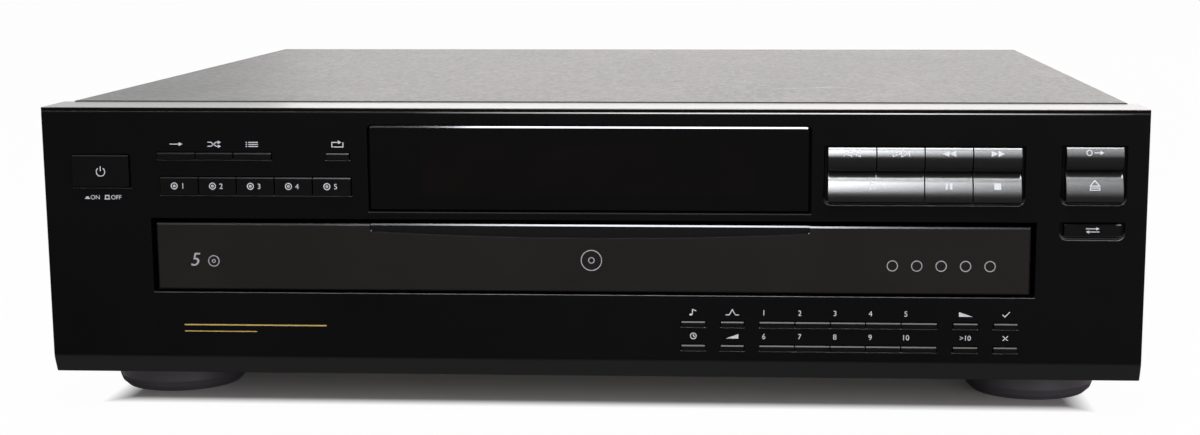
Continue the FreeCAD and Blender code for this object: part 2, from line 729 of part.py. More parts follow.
def main_board():
    """Board with its tallest components just clear of the deck."""
    x0 = MAIN_BOARD_LEFT
    y0 = MAIN_BOARD_REAR - MAIN_BOARD_L
    z = MAIN_BOARD_Z
    top = z + BOARD_T
    tall = DECK_FLOOR_Z - 3 * AIR - top
    parts = [box(x0, x0 + MAIN_BOARD_W, y0, MAIN_BOARD_REAR, z, top)]
    for x, y, r, h in ((12, 18, 5, 0.95), (27, 18, 5, 0.95), (15, 40, 6.3, 1.0), (90, 156, 4, 0.8)):
        parts.append(post(x0 + x, y0 + y, top, top + h * tall, r))
    blocks = [(48, 44, 28, 28, 0.26), (78, 94, 20, 14, 0.26), (8, 100, 40, 4, 0.95), (68, 10, 40, 6, 0.7)]
    for x, y, w, l, h in blocks:
        parts.append(box(x0 + x, x0 + x + w, y0 + y, y0 + y + l, top, top + h * tall))
    return fuse(parts)


def power_transformer():
    x1 = TRANSFORMER_RIGHT
    x0 = x1 - TRANSFORMER_W
    y1 = TRANSFORMER_REAR
    y0 = y1 - TRANSFORMER_L
    top = PAN_TOP + TRANSFORMER_H
    core = box(x0 + 4, x1 - 4, y0 + 8, y1 - 8, PAN_TOP + SHEET, top)
    middle = (y0 + y1) / 2
    coil = box(x0, x1, middle - 14, middle + 14, PAN_TOP + 10, top - 7)
    coil = fillet(coil, 5.0, along_z)
    foot = box(x0 + 4, x1 - 4, y0, y1, PAN_TOP, PAN_TOP + SHEET)
    strap = [box(x0 + 4, x1 - 4, y, y + SHEET, PAN_TOP, top) for y in (y0 + 8 - SHEET, y1 - 8)]
    return fuse([core, coil, foot] + strap)


def rear_connectors():
    inner = REAR_WALL_Y
    rear = REAR_WALL_Y + SHEET
    half = JACK_SPACING / 2 + 8.0
    block = box(JACK_X - half, JACK_X + half, inner - 8, inner, MAIN_BOARD_Z + BOARD_T, JACK_Z + 9)
    parts = [block]
    bores = []
    for side in (-1, 1):
        x = JACK_X + side * JACK_SPACING / 2
        parts.append(rod_y(x, JACK_Z, inner, rear + 0.8, JACK_R + 1.0))
        parts.append(rod_y(x, JACK_Z, inner, CASE_DEPTH + JACK_REACH, JACK_R))
        bores.append(rod_y(x, JACK_Z, rear - 4, CASE_DEPTH + JACK_REACH + 1, JACK_HOLE_R))
    jacks = cut(fuse(parts), bores)
    gland = fuse([
        rod_y(GLAND_X, GLAND_Z, inner - 4, rear, GLAND_R),
        rod_y(GLAND_X, GLAND_Z, rear, rear + 3.5, GLAND_R + 2.4),
        rod_y(GLAND_X, GLAND_Z, inner - 6, inner, GLAND_R + 1.6),
    ])
    gland = gland.cut(rod_y(GLAND_X, GLAND_Z, inner - 9, rear + 6, GLAND_BORE_R))
    return Part.makeCompound([jacks, gland])


# ---- gears ---------------------------------------------------------------------------------

def involute(angle):
    return math.tan(angle) - angle


def half_tooth(radius, pitch_r, teeth):
    """Half the angle of a tooth at a radius, thinned by the backlash."""
    base_r = pitch_r * math.cos(PRESSURE_ANGLE)
    lean = math.acos(min(1.0, base_r / radius))
    half = math.pi / (2 * teeth) - BACKLASH / (4 * pitch_r)
    return half + involute(PRESSURE_ANGLE) - involute(lean)


def gear_outline(x, y, teeth, module, turned=0.0):
    pitch_r = module * teeth / 2
    tip_r = pitch_r + 0.8 * module
    root_r = pitch_r - 1.1 * module
    at_tip = half_tooth(tip_r, pitch_r, teeth)
    at_root = half_tooth(root_r, pitch_r, teeth)
    points = []
    for n in range(teeth):
        middle = turned + 2 * math.pi * n / teeth
        for radius, angle in ((root_r, -at_root), (tip_r, -at_tip), (tip_r, at_tip), (root_r, at_root)):
            points.append((x + radius * math.cos(middle + angle), y + radius * math.sin(middle + angle)))
    return points


def rack_outline():
    """Teeth face +X; a gap lies opposite the loading gear's axis."""
    pitch = math.pi * RACK_MODULE
    tip = RACK_X + 0.8 * RACK_MODULE
    root = RACK_X - 1.1 * RACK_MODULE
    spread = math.tan(PRESSURE_ANGLE)
    half = pitch / 4 - BACKLASH / 4
    first = -3
    last = math.ceil((DRAWER_TRAVEL + 3 * pitch) / pitch)
    points = []
    for n in range(first, last):
        middle = LOADING_GEAR_Y + (n + 0.5) * pitch
        at_tip = half - 0.8 * RACK_MODULE * spread
        at_root = half + 1.1 * RACK_MODULE * spread
        points += [(root, middle - at_root), (tip, middle - at_tip)]
        points += [(tip, middle + at_tip), (root, middle + at_root)]
    back = RACK_X - RACK_BACK
    return points + [(back, points[-1][1]), (back, points[0][1])]


# ---- drawer ----------------------------------------------------------------------------------

def drawer_tray():
    half = TRAY_HALF
    y0 = DRAWER_FRONT_T
    y1 = TRAY_REAR_Y
    z0 = TRAY_FLOOR_Z
    z1 = TRAY_TOP_Z
    body = box(-half, half, y0, y1, z0, z1)
    pocket = post(0, TABLE_Y, TRAY_FLOOR_TOP, z1 + 1, TRAY_POCKET_R)
    inset = TRAY_WALL
    corners = box(-half + inset, half - inset, y0 + inset, y1 - inset, z0 - 1, z1 - inset)
    corners = corners.cut(post(0, TABLE_Y, z0 - 2, z1, TRAY_POCKET_R + inset))
    body = cut(body, [pocket, corners])
    runner = box(half, RUNNER_HALF, DECK_FRONT_Y - 10, y1, z0, z0 + RUNNER_H)
    cup_top = PINION_BOTTOM_Z - AIR
    additions = both_sides(runner) + [
        post(0, TABLE_Y, z0, table_seat_z() - AIR, TABLE_SHOULDER_R),
        post(0, TABLE_Y, z0, TABLE_TOP_Z - 1.0, TABLE_POST_R),
        post(PINION_X, TABLE_Y, TABLE_MOTOR_BOTTOM_Z, cup_top, TABLE_MOTOR_R),
        extrude_z(rack_outline(), TABLE_MOTOR_BOTTOM_Z, z0 + 0.5),
    ]
    body = fuse([body] + additions)
    slot_front = HUB_Y - BASE_FRONT - 2.0
    tools = [
        box(-TRAY_SLOT_W / 2, TRAY_SLOT_W / 2, slot_front, y1 + 1, z0 - 1, z1 + 1),
        post(PINION_X, TABLE_Y, cup_top - 7, cup_top + 1, PINION_SHAFT_R + RUNNING_FIT),
    ]
    return cut(body, tools)


def table_seat_z():
    return TABLE_BOTTOM_Z - 2.5


def disc_table():
    """Moulded shell: five wells, each open to the rim, and a toothed ring underneath."""
    top = TABLE_TOP_Z
    low = TABLE_BOTTOM_Z
    body = post(0, TABLE_Y, low, top, TABLE_R)
    wells = []
    slots = []
    cores = []
    for n in range(WELLS):
        angle = math.radians(90 + 360 * n / WELLS)
        x = WELL_PITCH_R * math.cos(angle)
        y = TABLE_Y + WELL_PITCH_R * math.sin(angle)
        wells.append(post(x, y, WELL_FLOOR_Z, top + 1, WELL_R))
        wells.append(post(x, y, WELL_FLOOR_Z - SMALL_DISC_DEPTH, top, SMALL_DISC_R))
        cores.append(post(x, y, low - 1, top, WELL_R + TABLE_SKIN))
        reach = TABLE_R + 5 - TABLE_SLOT_R
        w = TABLE_SLOT_W
        slot = box(-w / 2, w / 2, TABLE_SLOT_R, TABLE_SLOT_R + reach, low - 1, top + 1)
        slot = fillet(slot, 8.0, lambda b: along_z(b) and b.YMax < TABLE_SLOT_R + 0.01)
        slot.rotate(V(0, 0, 0), V(0, 0, 1), 360 * n / WELLS)
        slot.translate(V(0, TABLE_Y, 0))
        slots.append(slot)
    cores.append(post(0, TABLE_Y, low - 1, top, RING_R + TABLE_RING_WEB))
    hollow = post(0, TABLE_Y, low - 1, top - TABLE_SKIN, TABLE_R - TABLE_SKIN)
    hollow = cut(hollow, cores)
    teeth = extrude_z(gear_outline(0, TABLE_Y, TABLE_TEETH, TABLE_MODULE), PINION_BOTTOM_Z, low)
    teeth = teeth.cut(post(0, TABLE_Y, 0, low + 1, RING_R - 1.1 * TABLE_MODULE - 3))
    hub = post(0, TABLE_Y, table_seat_z(), low + 1, TABLE_HUB_R)
    body = cut(body, wells + slots + [hollow])
    body = fuse([body, teeth, hub])
    bore = post(0, TABLE_Y, 0, top + 1, TABLE_POST_R + RUNNING_FIT)
    return body.cut(bore)


def table_gear():
    top = TABLE_BOTTOM_Z - 0.6
    outline = gear_outline(PINION_X, TABLE_Y, TABLE_PINION_TEETH, TABLE_MODULE, math.pi / TABLE_PINION_TEETH)
    gear = extrude_z(outline, PINION_BOTTOM_Z, top)
    shaft = post(PINION_X, TABLE_Y, PINION_BOTTOM_Z - 6, PINION_BOTTOM_Z + 1, PINION_SHAFT_R)
    return fuse([gear, shaft])


def loading_gear():
    top = TRAY_FLOOR_Z - AIR
    x = LOADING_GEAR_X
    y = LOADING_GEAR_Y
    gear = extrude_z(gear_outline(x, y, LOADING_TEETH, RACK_MODULE), top - 4.2, top)
    dish = post(x, y, top - 1.4, top, LOADING_R - 5)
    boss = post(x, y, DECK_FLOOR_Z + DECK_FLOOR_T + AIR, top, 5.0)
    shaft = post(x, y, DECK_FLOOR_Z - 6, top, GEAR_SHAFT_R)
    return fuse([gear.cut(dish), boss, shaft])


def loading_motor():
    """Gear motor under the deck; its output bore carries the loading gear's shaft."""
    x = LOADING_GEAR_X
    y = LOADING_GEAR_Y
    top = DECK_FLOOR_Z
    gearbox = box(x - 14, x + 46, y - 14, y + 14, top - 9, top)
    gearbox = fillet(gearbox, 5.0, along_z)
    can = post(x + 32, y, PAN_TOP + 1.5, top - 9, 12.0)
    bore = post(x, y, top - 7, top + 1, GEAR_SHAFT_R + RUNNING_FIT)
    return fuse([gearbox, can]).cut(bore)


# ---- mechanism deck --------------------------------------------------------------------------

def deck_wall():
    y0 = DECK_FRONT_Y
    y1 = DECK_REAR_Y
    low = PAN_TOP
    mid = DECK_FLOOR_Z
    top = TRAY_FLOOR_Z + DECK_WALL_RISE
    seat = BRIDGE_SEAT_Z
    rise0 = HUB_Y - BRIDGE_W / 2
    rise1 = HUB_Y + BRIDGE_W / 2
    outline = [
        (y0, low), (y0 + 22, low), (y0 + 30, mid), (y0 + 132, mid), (y0 + 138, low), (y0 + 158, low),
        (y0 + 164, mid), (y1 - 28, mid), (y1 - 20, low), (y1, low), (y1, top), (rise1 + 14, top),
        (rise1, seat), (rise0, seat), (rise0 - 14, top), (y0, top),
    ]
    return extrude_x(outline, DECK_HALF, DECK_HALF + DECK_WALL)


def mechanism_deck():
    y0 = DECK_FRONT_Y
    y1 = DECK_REAR_Y
    runner_low = TRAY_FLOOR_Z
    rail_end = TRAY_REAR_Y + 3
    lower = box(RAIL_INNER, DECK_HALF, y0, rail_end, runner_low - AIR - RAIL_H, runner_low - AIR)
    over = runner_low + RUNNER_H + AIR
    upper = box(RAIL_INNER, DECK_HALF, y0, rail_end, over, over + RAIL_H)
    z0 = DECK_FLOOR_Z
    z1 = z0 + DECK_FLOOR_T
    floor = box(-DECK_HALF, DECK_HALF, y0, y1, z0, z1)
    rear_bar = box(-DECK_HALF, DECK_HALF, y1 - 17, y1, z0, z1 + 2)
    pin = post(GUIDE_PIN_X, GUIDE_PIN_Y, z0, BRIDGE_SEAT_Z, GUIDE_PIN_R)
    parts = both_sides(deck_wall()) + both_sides(lower) + both_sides(upper)
    parts += both_sides(pin) + [floor, rear_bar]
    body = fuse(parts)
    tools = [
        box(-32, 32, HUB_Y - BASE_FRONT - 12, y1 - 17, z0 - 1, z1 + 1),
        box(-78, 150, y0 + 30, HUB_Y - BASE_FRONT - 24, z0 - 1, z1 + 1),
        box(50, 150, HUB_Y - BASE_FRONT - 12, y1 - 30, z0 - 1, z1 + 1),
        box(-150, -50, HUB_Y - BASE_FRONT - 12, y1 - 30, z0 - 1, z1 + 1),
        post(LOADING_GEAR_X, LOADING_GEAR_Y, z0 - 1, z1 + 1, GEAR_SHAFT_R + 0.6),
    ]
    return cut(body, tools)


def clamp_bridge():
    outer = DECK_HALF + DECK_WALL
    y0 = HUB_Y - BRIDGE_W / 2
    y1 = HUB_Y + BRIDGE_W / 2
    top = BRIDGE_Z + BRIDGE_T
    plate = box(-outer, outer, y0, y1, BRIDGE_Z, top)
    leg = box(DECK_HALF, outer, y0, y1, BRIDGE_SEAT_Z, BRIDGE_Z)
    ribs = [box(-outer, outer, y, y + 2, top, top + BRIDGE_RIB_H) for y in (y0, y1 - 2)]
    ring = post(0, HUB_Y, BRIDGE_Z, top, BRIDGE_RING_R)
    body = fuse([plate, ring] + both_sides(leg) + ribs)
    return body.cut(post(0, HUB_Y, BRIDGE_Z - 1, top + 1, CLAMPER_NECK_R + RUNNING_FIT))


def disc_clamper():
    low = SEAT_RAISED_Z + DISC_T
    neck = BRIDGE_Z - AIR
    flange = BRIDGE_Z + BRIDGE_T + AIR
    recess_r = HUB_CONE_R + 1.2
    recess_z = SEAT_RAISED_Z + HUB_CONE_H + 0.8
    outline = [
        (0, recess_z), (recess_r, recess_z), (recess_r, low), (CLAMPER_R, low), (CLAMPER_R, neck),
        (CLAMPER_NECK_R, neck), (CLAMPER_NECK_R, flange), (CLAMPER_FLANGE_R, flange),
        (CLAMPER_FLANGE_R, flange + 1.5), (0, flange + 1.5),
    ]
    return turn(outline, 0, HUB_Y)


# ---- optical unit ------------------------------------------------------------------------------

def optical_base():
    z0 = SEAT_Z + BASE_BOTTOM
    z1 = SEAT_Z + BASE_TOP
    front = HUB_Y - BASE_FRONT
    hole0 = HUB_Y + BASE_HOLE_FRONT
    hole1 = HUB_Y + BASE_HOLE_REAR
    rear = hole1 + BASE_REAR_BAR
    half = BASE_W / 2
    plate = box(-half, half, front, rear, z0, z1)
    plate = fillet(plate, 9.0, lambda b: along_z(b) and b.YMax < front + 0.01)
    motor = post(0, HUB_Y, z0 - SPINDLE_MOTOR_H, z0, SPINDLE_MOTOR_R)
    body = fuse([plate, motor])
    slide_half = PICKUP_W / 2 + 1.0
    well = box(-half + 2.5, half - 2.5, front + 2.5, hole0 - 3, z0 - 1, z1 - 2.5)
    well = well.cut(post(0, HUB_Y, z0 - 2, z1, SPINDLE_MOTOR_R))
    tools = [box(-slide_half, slide_half, hole0, hole1, z0 - 1, z1 + 1), well]
    tools.append(post(0, HUB_Y, z1 - 11, z1 + 1, SPINDLE_R + RUNNING_FIT))
    for side in (-1, 1):
        tools.append(post(side * GUIDE_PIN_X, GUIDE_PIN_Y, z0 - 1, z1 + 1, GUIDE_PIN_R + RUNNING_FIT))
    body = cut(body, tools)
    rods = [rod_y(side * ROD_X, SEAT_Z + ROD_Z, hole0 - 2, hole1 + 1, ROD_R) for side in (-1, 1)]
    return fuse([body] + rods)


def optical_pickup():
    y0 = HUB_Y + PICKUP_START
    y1 = y0 + PICKUP_L
    half = PICKUP_W / 2
    block = box(-half, half, y0, y1, SEAT_Z + PICKUP_BOTTOM, SEAT_Z + PICKUP_TOP)
    block = fillet(block, 2.0, along_z)
    lens_y = HUB_Y + PICKUP_INNER
    lens = post(0, lens_y, SEAT_Z + PICKUP_TOP, SEAT_Z + LENS_TOP, LENS_R)
    bores = [
        rod_y(side * ROD_X, SEAT_Z + ROD_Z, y0 - 1, y1 + 1, ROD_R + RUNNING_FIT) for side in (-1, 1)
    ]
    return cut(fuse([block, lens]), bores)


def disc_hub():
    z = SEAT_Z
    outline = [
        (0, z + HUB_CONE_H), (HUB_CONE_R - 1.2, z + HUB_CONE_H), (HUB_CONE_R, z + 1.0), (HUB_CONE_R, z),
        (HUB_SEAT_R, z), (HUB_SEAT_R, z - HUB_T), (SPINDLE_R, z - HUB_T), (SPINDLE_R, z + BASE_TOP - 10),
        (0, z + BASE_TOP - 10),
    ]
    return turn(outline, 0, HUB_Y)


def make_parts():
    parts = {
        "front_panel": front_panel(),
        "display_window": display_window(),
        "drawer_front": drawer_front(),
        "top_cover": top_cover(),
        "chassis_pan": chassis_pan(),
        "feet": feet(),
        "case_screws": case_screws(),
        "switch_board": switch_board(),
        "main_board": main_board(),
        "power_transformer": power_transformer(),
        "rear_connectors": rear_connectors(),
        "mechanism_deck": mechanism_deck(),
        "clamp_bridge": clamp_bridge(),
        "loading_motor": loading_motor(),
        "loading_gear": loading_gear(),
        "drawer_tray": drawer_tray(),
        "disc_table": disc_table(),
        "table_gear": table_gear(),
        "optical_base": optical_base(),
        "optical_pickup": optical_pickup(),
        "disc_hub": disc_hub(),
        "disc_clamper": disc_clamper(),
    }
    parts.update(make_keys())
    return parts


os.makedirs("parts", exist_ok=True)
for node, shape in make_parts().items():
    shape.translate(V(0, -ORIGIN_Y, FOOT_CLEARANCE))
    shape.exportStep("parts/%s.step" % node)
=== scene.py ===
import functools
import json
import math

import bmesh
import bpy
from mathutils import Matrix, Vector
from mathutils.bvhtree import BVHTree


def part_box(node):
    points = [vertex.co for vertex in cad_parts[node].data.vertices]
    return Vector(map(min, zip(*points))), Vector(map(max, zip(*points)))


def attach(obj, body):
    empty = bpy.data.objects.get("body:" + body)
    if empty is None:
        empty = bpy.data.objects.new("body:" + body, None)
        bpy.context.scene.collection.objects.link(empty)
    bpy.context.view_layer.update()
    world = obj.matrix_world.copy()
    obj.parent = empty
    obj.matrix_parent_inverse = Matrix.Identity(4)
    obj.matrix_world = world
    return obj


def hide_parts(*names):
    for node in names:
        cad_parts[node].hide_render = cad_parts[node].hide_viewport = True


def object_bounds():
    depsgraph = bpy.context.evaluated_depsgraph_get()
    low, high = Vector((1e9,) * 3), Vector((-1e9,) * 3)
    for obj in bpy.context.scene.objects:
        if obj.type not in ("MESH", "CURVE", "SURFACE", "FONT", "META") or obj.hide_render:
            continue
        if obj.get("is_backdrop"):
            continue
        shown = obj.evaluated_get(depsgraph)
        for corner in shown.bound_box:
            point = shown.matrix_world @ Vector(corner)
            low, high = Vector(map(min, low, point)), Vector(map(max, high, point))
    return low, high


bl_info = {
    "name": "Disc Changer Finish",
    "version": (1, 0, 0),
    "blender": (4, 5, 0),
    "location": "3D View > Sidebar > Disc Changer",
    "description": "Finishes, marks and small parts of a five-disc carousel changer",
    "category": "Object",
}

MM = 0.001
DISCS = 5
CURVED_KEYS = [
    "previous_track_key", "next_track_key", "rewind_key", "fast_forward_key",
    "play_key", "pause_key", "stop_key", "disc_skip_key", "open_close_key",
]
# A Mix node's two values and its result share their names with others, so they go by number.
MIX_SOCKETS = {"VECTOR": (4, 5, 1), "RGBA": (6, 7, 2)}

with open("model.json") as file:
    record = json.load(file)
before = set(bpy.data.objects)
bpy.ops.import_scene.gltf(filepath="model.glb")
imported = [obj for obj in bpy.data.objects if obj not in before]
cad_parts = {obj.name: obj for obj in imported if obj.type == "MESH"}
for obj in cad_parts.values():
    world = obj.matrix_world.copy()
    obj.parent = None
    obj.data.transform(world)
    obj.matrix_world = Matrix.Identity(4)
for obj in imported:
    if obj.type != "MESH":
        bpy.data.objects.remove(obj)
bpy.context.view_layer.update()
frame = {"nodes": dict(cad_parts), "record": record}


# ---- node graphs -------------------------------------------------

def math_form(operation, reflected=False):
    """A method of Socket that adds a Math node for the socket and another value."""

    def form(socket, other):
        values = (other, socket) if reflected else (socket, other)
        return socket.math(operation, *values)

    return form


class Socket:
    """One output of a node. Arithmetic on it adds the Math nodes that work it out."""

    def __init__(self, graph, output):
        self.graph = graph
        self.output = output

    def math(self, operation, *values):
        settings = {"operation": operation}
        return self.graph.node("ShaderNodeMath", settings, dict(enumerate(values)))

    __add__ = math_form("ADD")
    __radd__ = math_form("ADD", reflected=True)
    __sub__ = math_form("SUBTRACT")
    __rsub__ = math_form("SUBTRACT", reflected=True)
    __mul__ = math_form("MULTIPLY")
    __rmul__ = math_form("MULTIPLY", reflected=True)
    __pow__ = math_form("POWER")
    __rpow__ = math_form("POWER", reflected=True)
    __gt__ = math_form("GREATER_THAN")
    __lt__ = math_form("LESS_THAN")
    most = math_form("MAXIMUM")

    def __abs__(self):
        return self.math("ABSOLUTE", self)

    def ramp(self, low, high):
        """0 below low, 1 above high and straight between."""
        values = {"Value": self, "From Min": low, "From Max": high}
        return self.graph.node("ShaderNodeMapRange", {"clamp": True}, values)

    def swing(self, width):
        """A noise of 0 to 1, moved to swing about 0 over a width."""
        return (self - 0.5) * width


class Graph:
    """Adds nodes to a node tree and links them."""

    def __init__(self, tree):
        self.tree = tree
        self.tree.nodes.clear()

    def node(self, kind, settings=None, values=None, output=0):
        """Adds a node. Values are for its sockets, and one that is a Socket is linked."""
        node = self.tree.nodes.new(kind)
        for name, value in (settings or {}).items():
            setattr(node, name, value)
        for key, value in (values or {}).items():
            if isinstance(value, Socket):
                self.tree.links.new(value.output, node.inputs[key])
            else:
                node.inputs[key].default_value = value
        return Socket(self, node.outputs[output]) if node.outputs else None

    def part(self, vector, axis):
        """X, Y or Z of a vector."""
        return self.node("ShaderNodeSeparateXYZ", {}, {"Vector": vector}, axis)

    def mix(self, factor, first, second, kind="RGBA"):
        """The first colour or vector where the factor is 0, the second where it is 1."""
        start, end, result = MIX_SOCKETS[kind]
        values = {"Factor": factor, start: first, end: second}
        return self.node("ShaderNodeMix", {"data_type": kind}, values, result)

    def mix_shaders(self, factor, first, second):
        return self.node("ShaderNodeMixShader", {}, {0: factor, 1: first, 2: second})


class Finish(Graph):
    """A material whose shader is worked out from the place on the object."""

    def __init__(self, name):
        self.material = bpy.data.materials.new(name)
        self.material.use_nodes = True
        super().__init__(self.material.node_tree)

    def place(self):
        return self.node("ShaderNodeTexCoord", output="Object")

    def axis(self, name):
        """X, Y or Z of the place, in metres."""
        return self.part(self.place(), name)

    def within(self, axis, low, high):
        """1 where an axis of the place lies between two values."""
        along = self.axis(axis)
        return (along > low) * (along < high)

    def framed(self, low, high):
        """1 inside an upright frame with two corners, seen from the front."""
        return self.within("X", low.x, high.x) * self.within("Z", low.z, high.z)

    def from_axis(self, point):
        """Distance from the line along Y through a point."""
        across = self.axis("X") - point.x
        up = self.axis("Z") - point.z
        return (across * across + up * up) ** 0.5

    def stretched(self, x, y, z):
        """The place with each axis scaled, for streaks."""
        return self.node("ShaderNodeMapping", {}, {"Vector": self.place(), "Scale": (x, y, z)})

    def noise(self, size, detail=2.0, rough=0.5, place=None):
        """Fractal noise from 0 to 1 whose blotches are about size metres across."""
        return self.node("ShaderNodeTexNoise", {}, {
            "Vector": place or self.place(),
            "Scale": 1.0 / size,
            "Detail": detail,
            "Roughness": rough,
        })

    def cells(self, size, feature="F1", output="Distance"):
        """Cells about size metres wide, by the distance from their middles or edges."""
        values = {"Vector": self.place(), "Scale": 1.0 / size}
        return self.node("ShaderNodeTexVoronoi", {"feature": feature}, values, output)

    def upward(self, normal=None):
        """Z of the surface's normal."""
        return self.part(normal or self.node("ShaderNodeNewGeometry", output="Normal"), "Z")

    def softened(self, radius):
        """The normal turned over edges as a moulding's small radius turns it."""
        return self.node("ShaderNodeBevel", {"samples": 6}, {"Radius": radius})

    def leaning(self, normal):
        """1 where the normal leans back a little, as on the front of a rounded upper edge."""
        up = self.upward(normal)
        return up.ramp(0.06, 0.2) * (1 - up.ramp(0.55, 0.7))

    def cut_edge(self):
        """1 on edges cut back halfway between upright and level."""
        up = self.upward()
        return up.ramp(0.5, 0.6) * (1 - up.ramp(0.8, 0.9))

    def rolled(self, radius, lean=math.radians(20)):
        """The softened normal, with the cut edges turned so that they only lean back a little."""
        turned = (0.0, -math.cos(lean), math.sin(lean))
        return self.mix(self.cut_edge(), self.softened(radius), turned, "VECTOR")

    def shades(self, color, factor, dark, light):
        """A colour that varies between two multiples of itself."""
        return self.mix(factor, scaled(color, dark), scaled(color, light))

    def dusted(self, shade, spacing, radius, amount, color):
        """A shade with specks in some of the cells of a grid, as many as amount says."""
        near = self.cells(spacing) < radius / spacing
        middle = self.cells(spacing, output="Position")
        chance = self.node("ShaderNodeTexWhiteNoise", {}, {"Vector": middle})
        return self.mix(near * (chance < amount), shade, color)

    def bump(self, height, depth, normal=None):
        """Normal tilted by a height of 0 to 1 that stands for depth metres."""
        values = {"Height": height, "Distance": depth}
        if normal:
            values["Normal"] = normal
        return self.node("ShaderNodeBump", {}, values)

    def surface(self, shader):
        self.node("ShaderNodeOutputMaterial", {}, {"Surface": shader})
        return self.material

    def principled(self, values):
        return self.surface(self.node("ShaderNodeBsdfPrincipled", {}, values))


def rgba(red, green, blue):
    return (red, green, blue, 1.0)


def scaled(color, factor):
    return rgba(*[channel * factor for channel in color[:3]])


def add_object(name, data):
    """A new object in the scene."""
    added = bpy.data.objects.new(name, data)
    bpy.context.scene.collection.objects.link(added)
    return added


# ---- finishes ----------------------------------------------------

def moulded_plastic(name, color, roughness, grain=0.25 * MM, depth=4e-6, level=0.5,
                    mottle=0.12, specks=0.0):
    """Injection-moulded plastic with a fine spark-eroded grain and faint handling marks."""
    finish = Finish(name)
    broad = finish.noise(38 * MM, 3.0)
    fine = finish.noise(grain, 2.0, 0.6)
    shade = finish.shades(color, broad.ramp(0.3, 0.7), 1 - mottle, 1 + mottle)
    if specks:
        shade = finish.dusted(shade, 6 * MM, 0.1 * MM, specks, rgba(0.35, 0.34, 0.33))
    return finish.principled({
        "Base Color": shade,
        "Roughness": roughness + broad.swing(0.10) + fine.swing(0.08),
        "Specular IOR Level": level,
        "Normal": finish.bump(fine, depth),
    })


def cover_finish(sizes):
    """Baked paint with a fine leather-like texture, a few scratches and settled dust."""
    finish = Finish("cover_paint")
    grain = finish.noise(0.7 * MM, 3.0, 0.65)
    pores = finish.cells(1.1 * MM)
    broad = finish.noise(70 * MM, 4.0, 0.6)
    streaks = finish.noise(2.4 * MM, 4.0, 0.75, finish.stretched(1.0, 0.45, 1.0))
    level = finish.upward().ramp(0.5, 0.9)
    scratch = scratches(finish) * level
    settled = broad.ramp(0.35, 0.75) * level * 0.10
    shade = finish.shades(sizes.cover_color, grain.ramp(0.3, 0.7), 0.8, 1.25)
    shade = finish.mix(settled, shade, rgba(0.30, 0.28, 0.25))
    shade = finish.dusted(shade, 9 * MM, 0.22 * MM, 0.35, rgba(0.42, 0.40, 0.37))
    shade = finish.mix(scratch * 0.5, shade, rgba(0.34, 0.33, 0.31))
    height = grain * 0.6 + pores.ramp(0.0, 0.6) * 0.4
    return finish.principled({
        "Base Color": shade,
        "Roughness": 0.42 + streaks.swing(0.30) + grain.swing(0.18) - scratch * 0.1,
        "Specular IOR Level": 0.5,
        "Normal": finish.bump(height, 22e-6),
    })


def scratches(finish):
    """Thin arcs, where a warped noise crosses its middle value, in some places only."""
    curve = finish.noise(120 * MM, 1.0, 0.3)
    where = finish.noise(55 * MM, 2.0)
    return (1 - abs(curve - 0.5).ramp(0.0, 0.0016)) * where.ramp(0.56, 0.62)


def metal(name, color, roughness, brushed, spangle=0.0):
    """Sheet or turned metal: brushed marks along Y and, on zinc, a faint crystal pattern."""
    finish = Finish(name)
    broad = finish.noise(30 * MM, 3.0)
    lines = finish.noise(0.8 * MM, 2.0, 0.6, finish.stretched(1.0, 0.04, 1.0))
    tone = broad * 0.3 + lines * brushed + finish.cells(7 * MM) * spangle
    return finish.principled({
        "Base Color": finish.shades(color, tone.ramp(0.0, 0.8), 0.82, 1.08),
        "Roughness": roughness + broad.swing(0.12) + lines.swing(brushed * 0.3),
        "Metallic": 1.0,
        "Normal": finish.bump(lines, 6e-6 * (brushed + 0.2)),
    })


def panel_finish(sizes):
    """Satin black, with dust, a painted highlight and gloss on its top, polished rims and a glossy
    lower bevel.
    """
    finish = Finish("panel_plastic")
    x = finish.axis("X")
    z = finish.axis("Z")
    low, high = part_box("front_panel")
    ledge_foot = high.z - 2.2 * MM
    flange_foot = high.z - 0.7 * MM
    bevel_foot = low.z + 6.4 * MM
    broad = finish.noise(60 * MM, 3.0)
    fine = finish.noise(0.35 * MM, 2.0, 0.6)
    smear = finish.noise(28 * MM, 4.0, 0.7, finish.stretched(1.0, 1.0, 0.35))
    shade = finish.shades(sizes.panel_color, broad.ramp(0.3, 0.7), 0.85, 1.2)
    shade = finish.dusted(shade, 8 * MM, 0.09 * MM, 0.25, rgba(0.20, 0.20, 0.21))

    # The top's colour is made lighter: partly settled dust, partly a painted highlight that
    # brightens the flange and ledge.
    top = z > ledge_foot
    settled = top * finish.upward().ramp(0.85, 0.95) * (0.65 + smear.ramp(0.1, 0.5) * 0.35)
    shade = finish.mix(settled, shade, rgba(0.14, 0.136, 0.132))
    level = finish.upward().ramp(0.3, 0.6)
    flange = level * (z > flange_foot)
    ledge_middle = 70 * MM
    ledge = top * (z < flange_foot) * (1 - abs(x - ledge_middle).ramp(50 * MM, 140 * MM)) * level
    bevel = 1 - z.ramp(bevel_foot, bevel_foot + 1.0 * MM)

    pane_low, pane_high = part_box("display_window")
    margin = Vector((1.5, 0.0, 1.5)) * MM
    beside = finish.framed(pane_low - margin, pane_high + margin)
    turned = finish.softened(0.4 * MM)
    rims = finish.leaning(turned) * (1 - beside * 0.85) * (1 - top)
    return finish.principled({
        "Base Color": finish.mix(rims, shade, rgba(0.12, 0.12, 0.125)),
        "Roughness": sizes.panel_roughness + smear.swing(0.16) + fine.swing(0.06) - top * 0.08,
        "Specular IOR Level": 0.045,
        "Metallic": rims,
        "Coat Weight": flange * 0.40 + ledge * 0.30 + bevel * 0.085,
        "Coat Roughness": 0.16,
        "Coat IOR": 2.5,
        "Normal": finish.bump(fine, 3e-6, turned),
    })


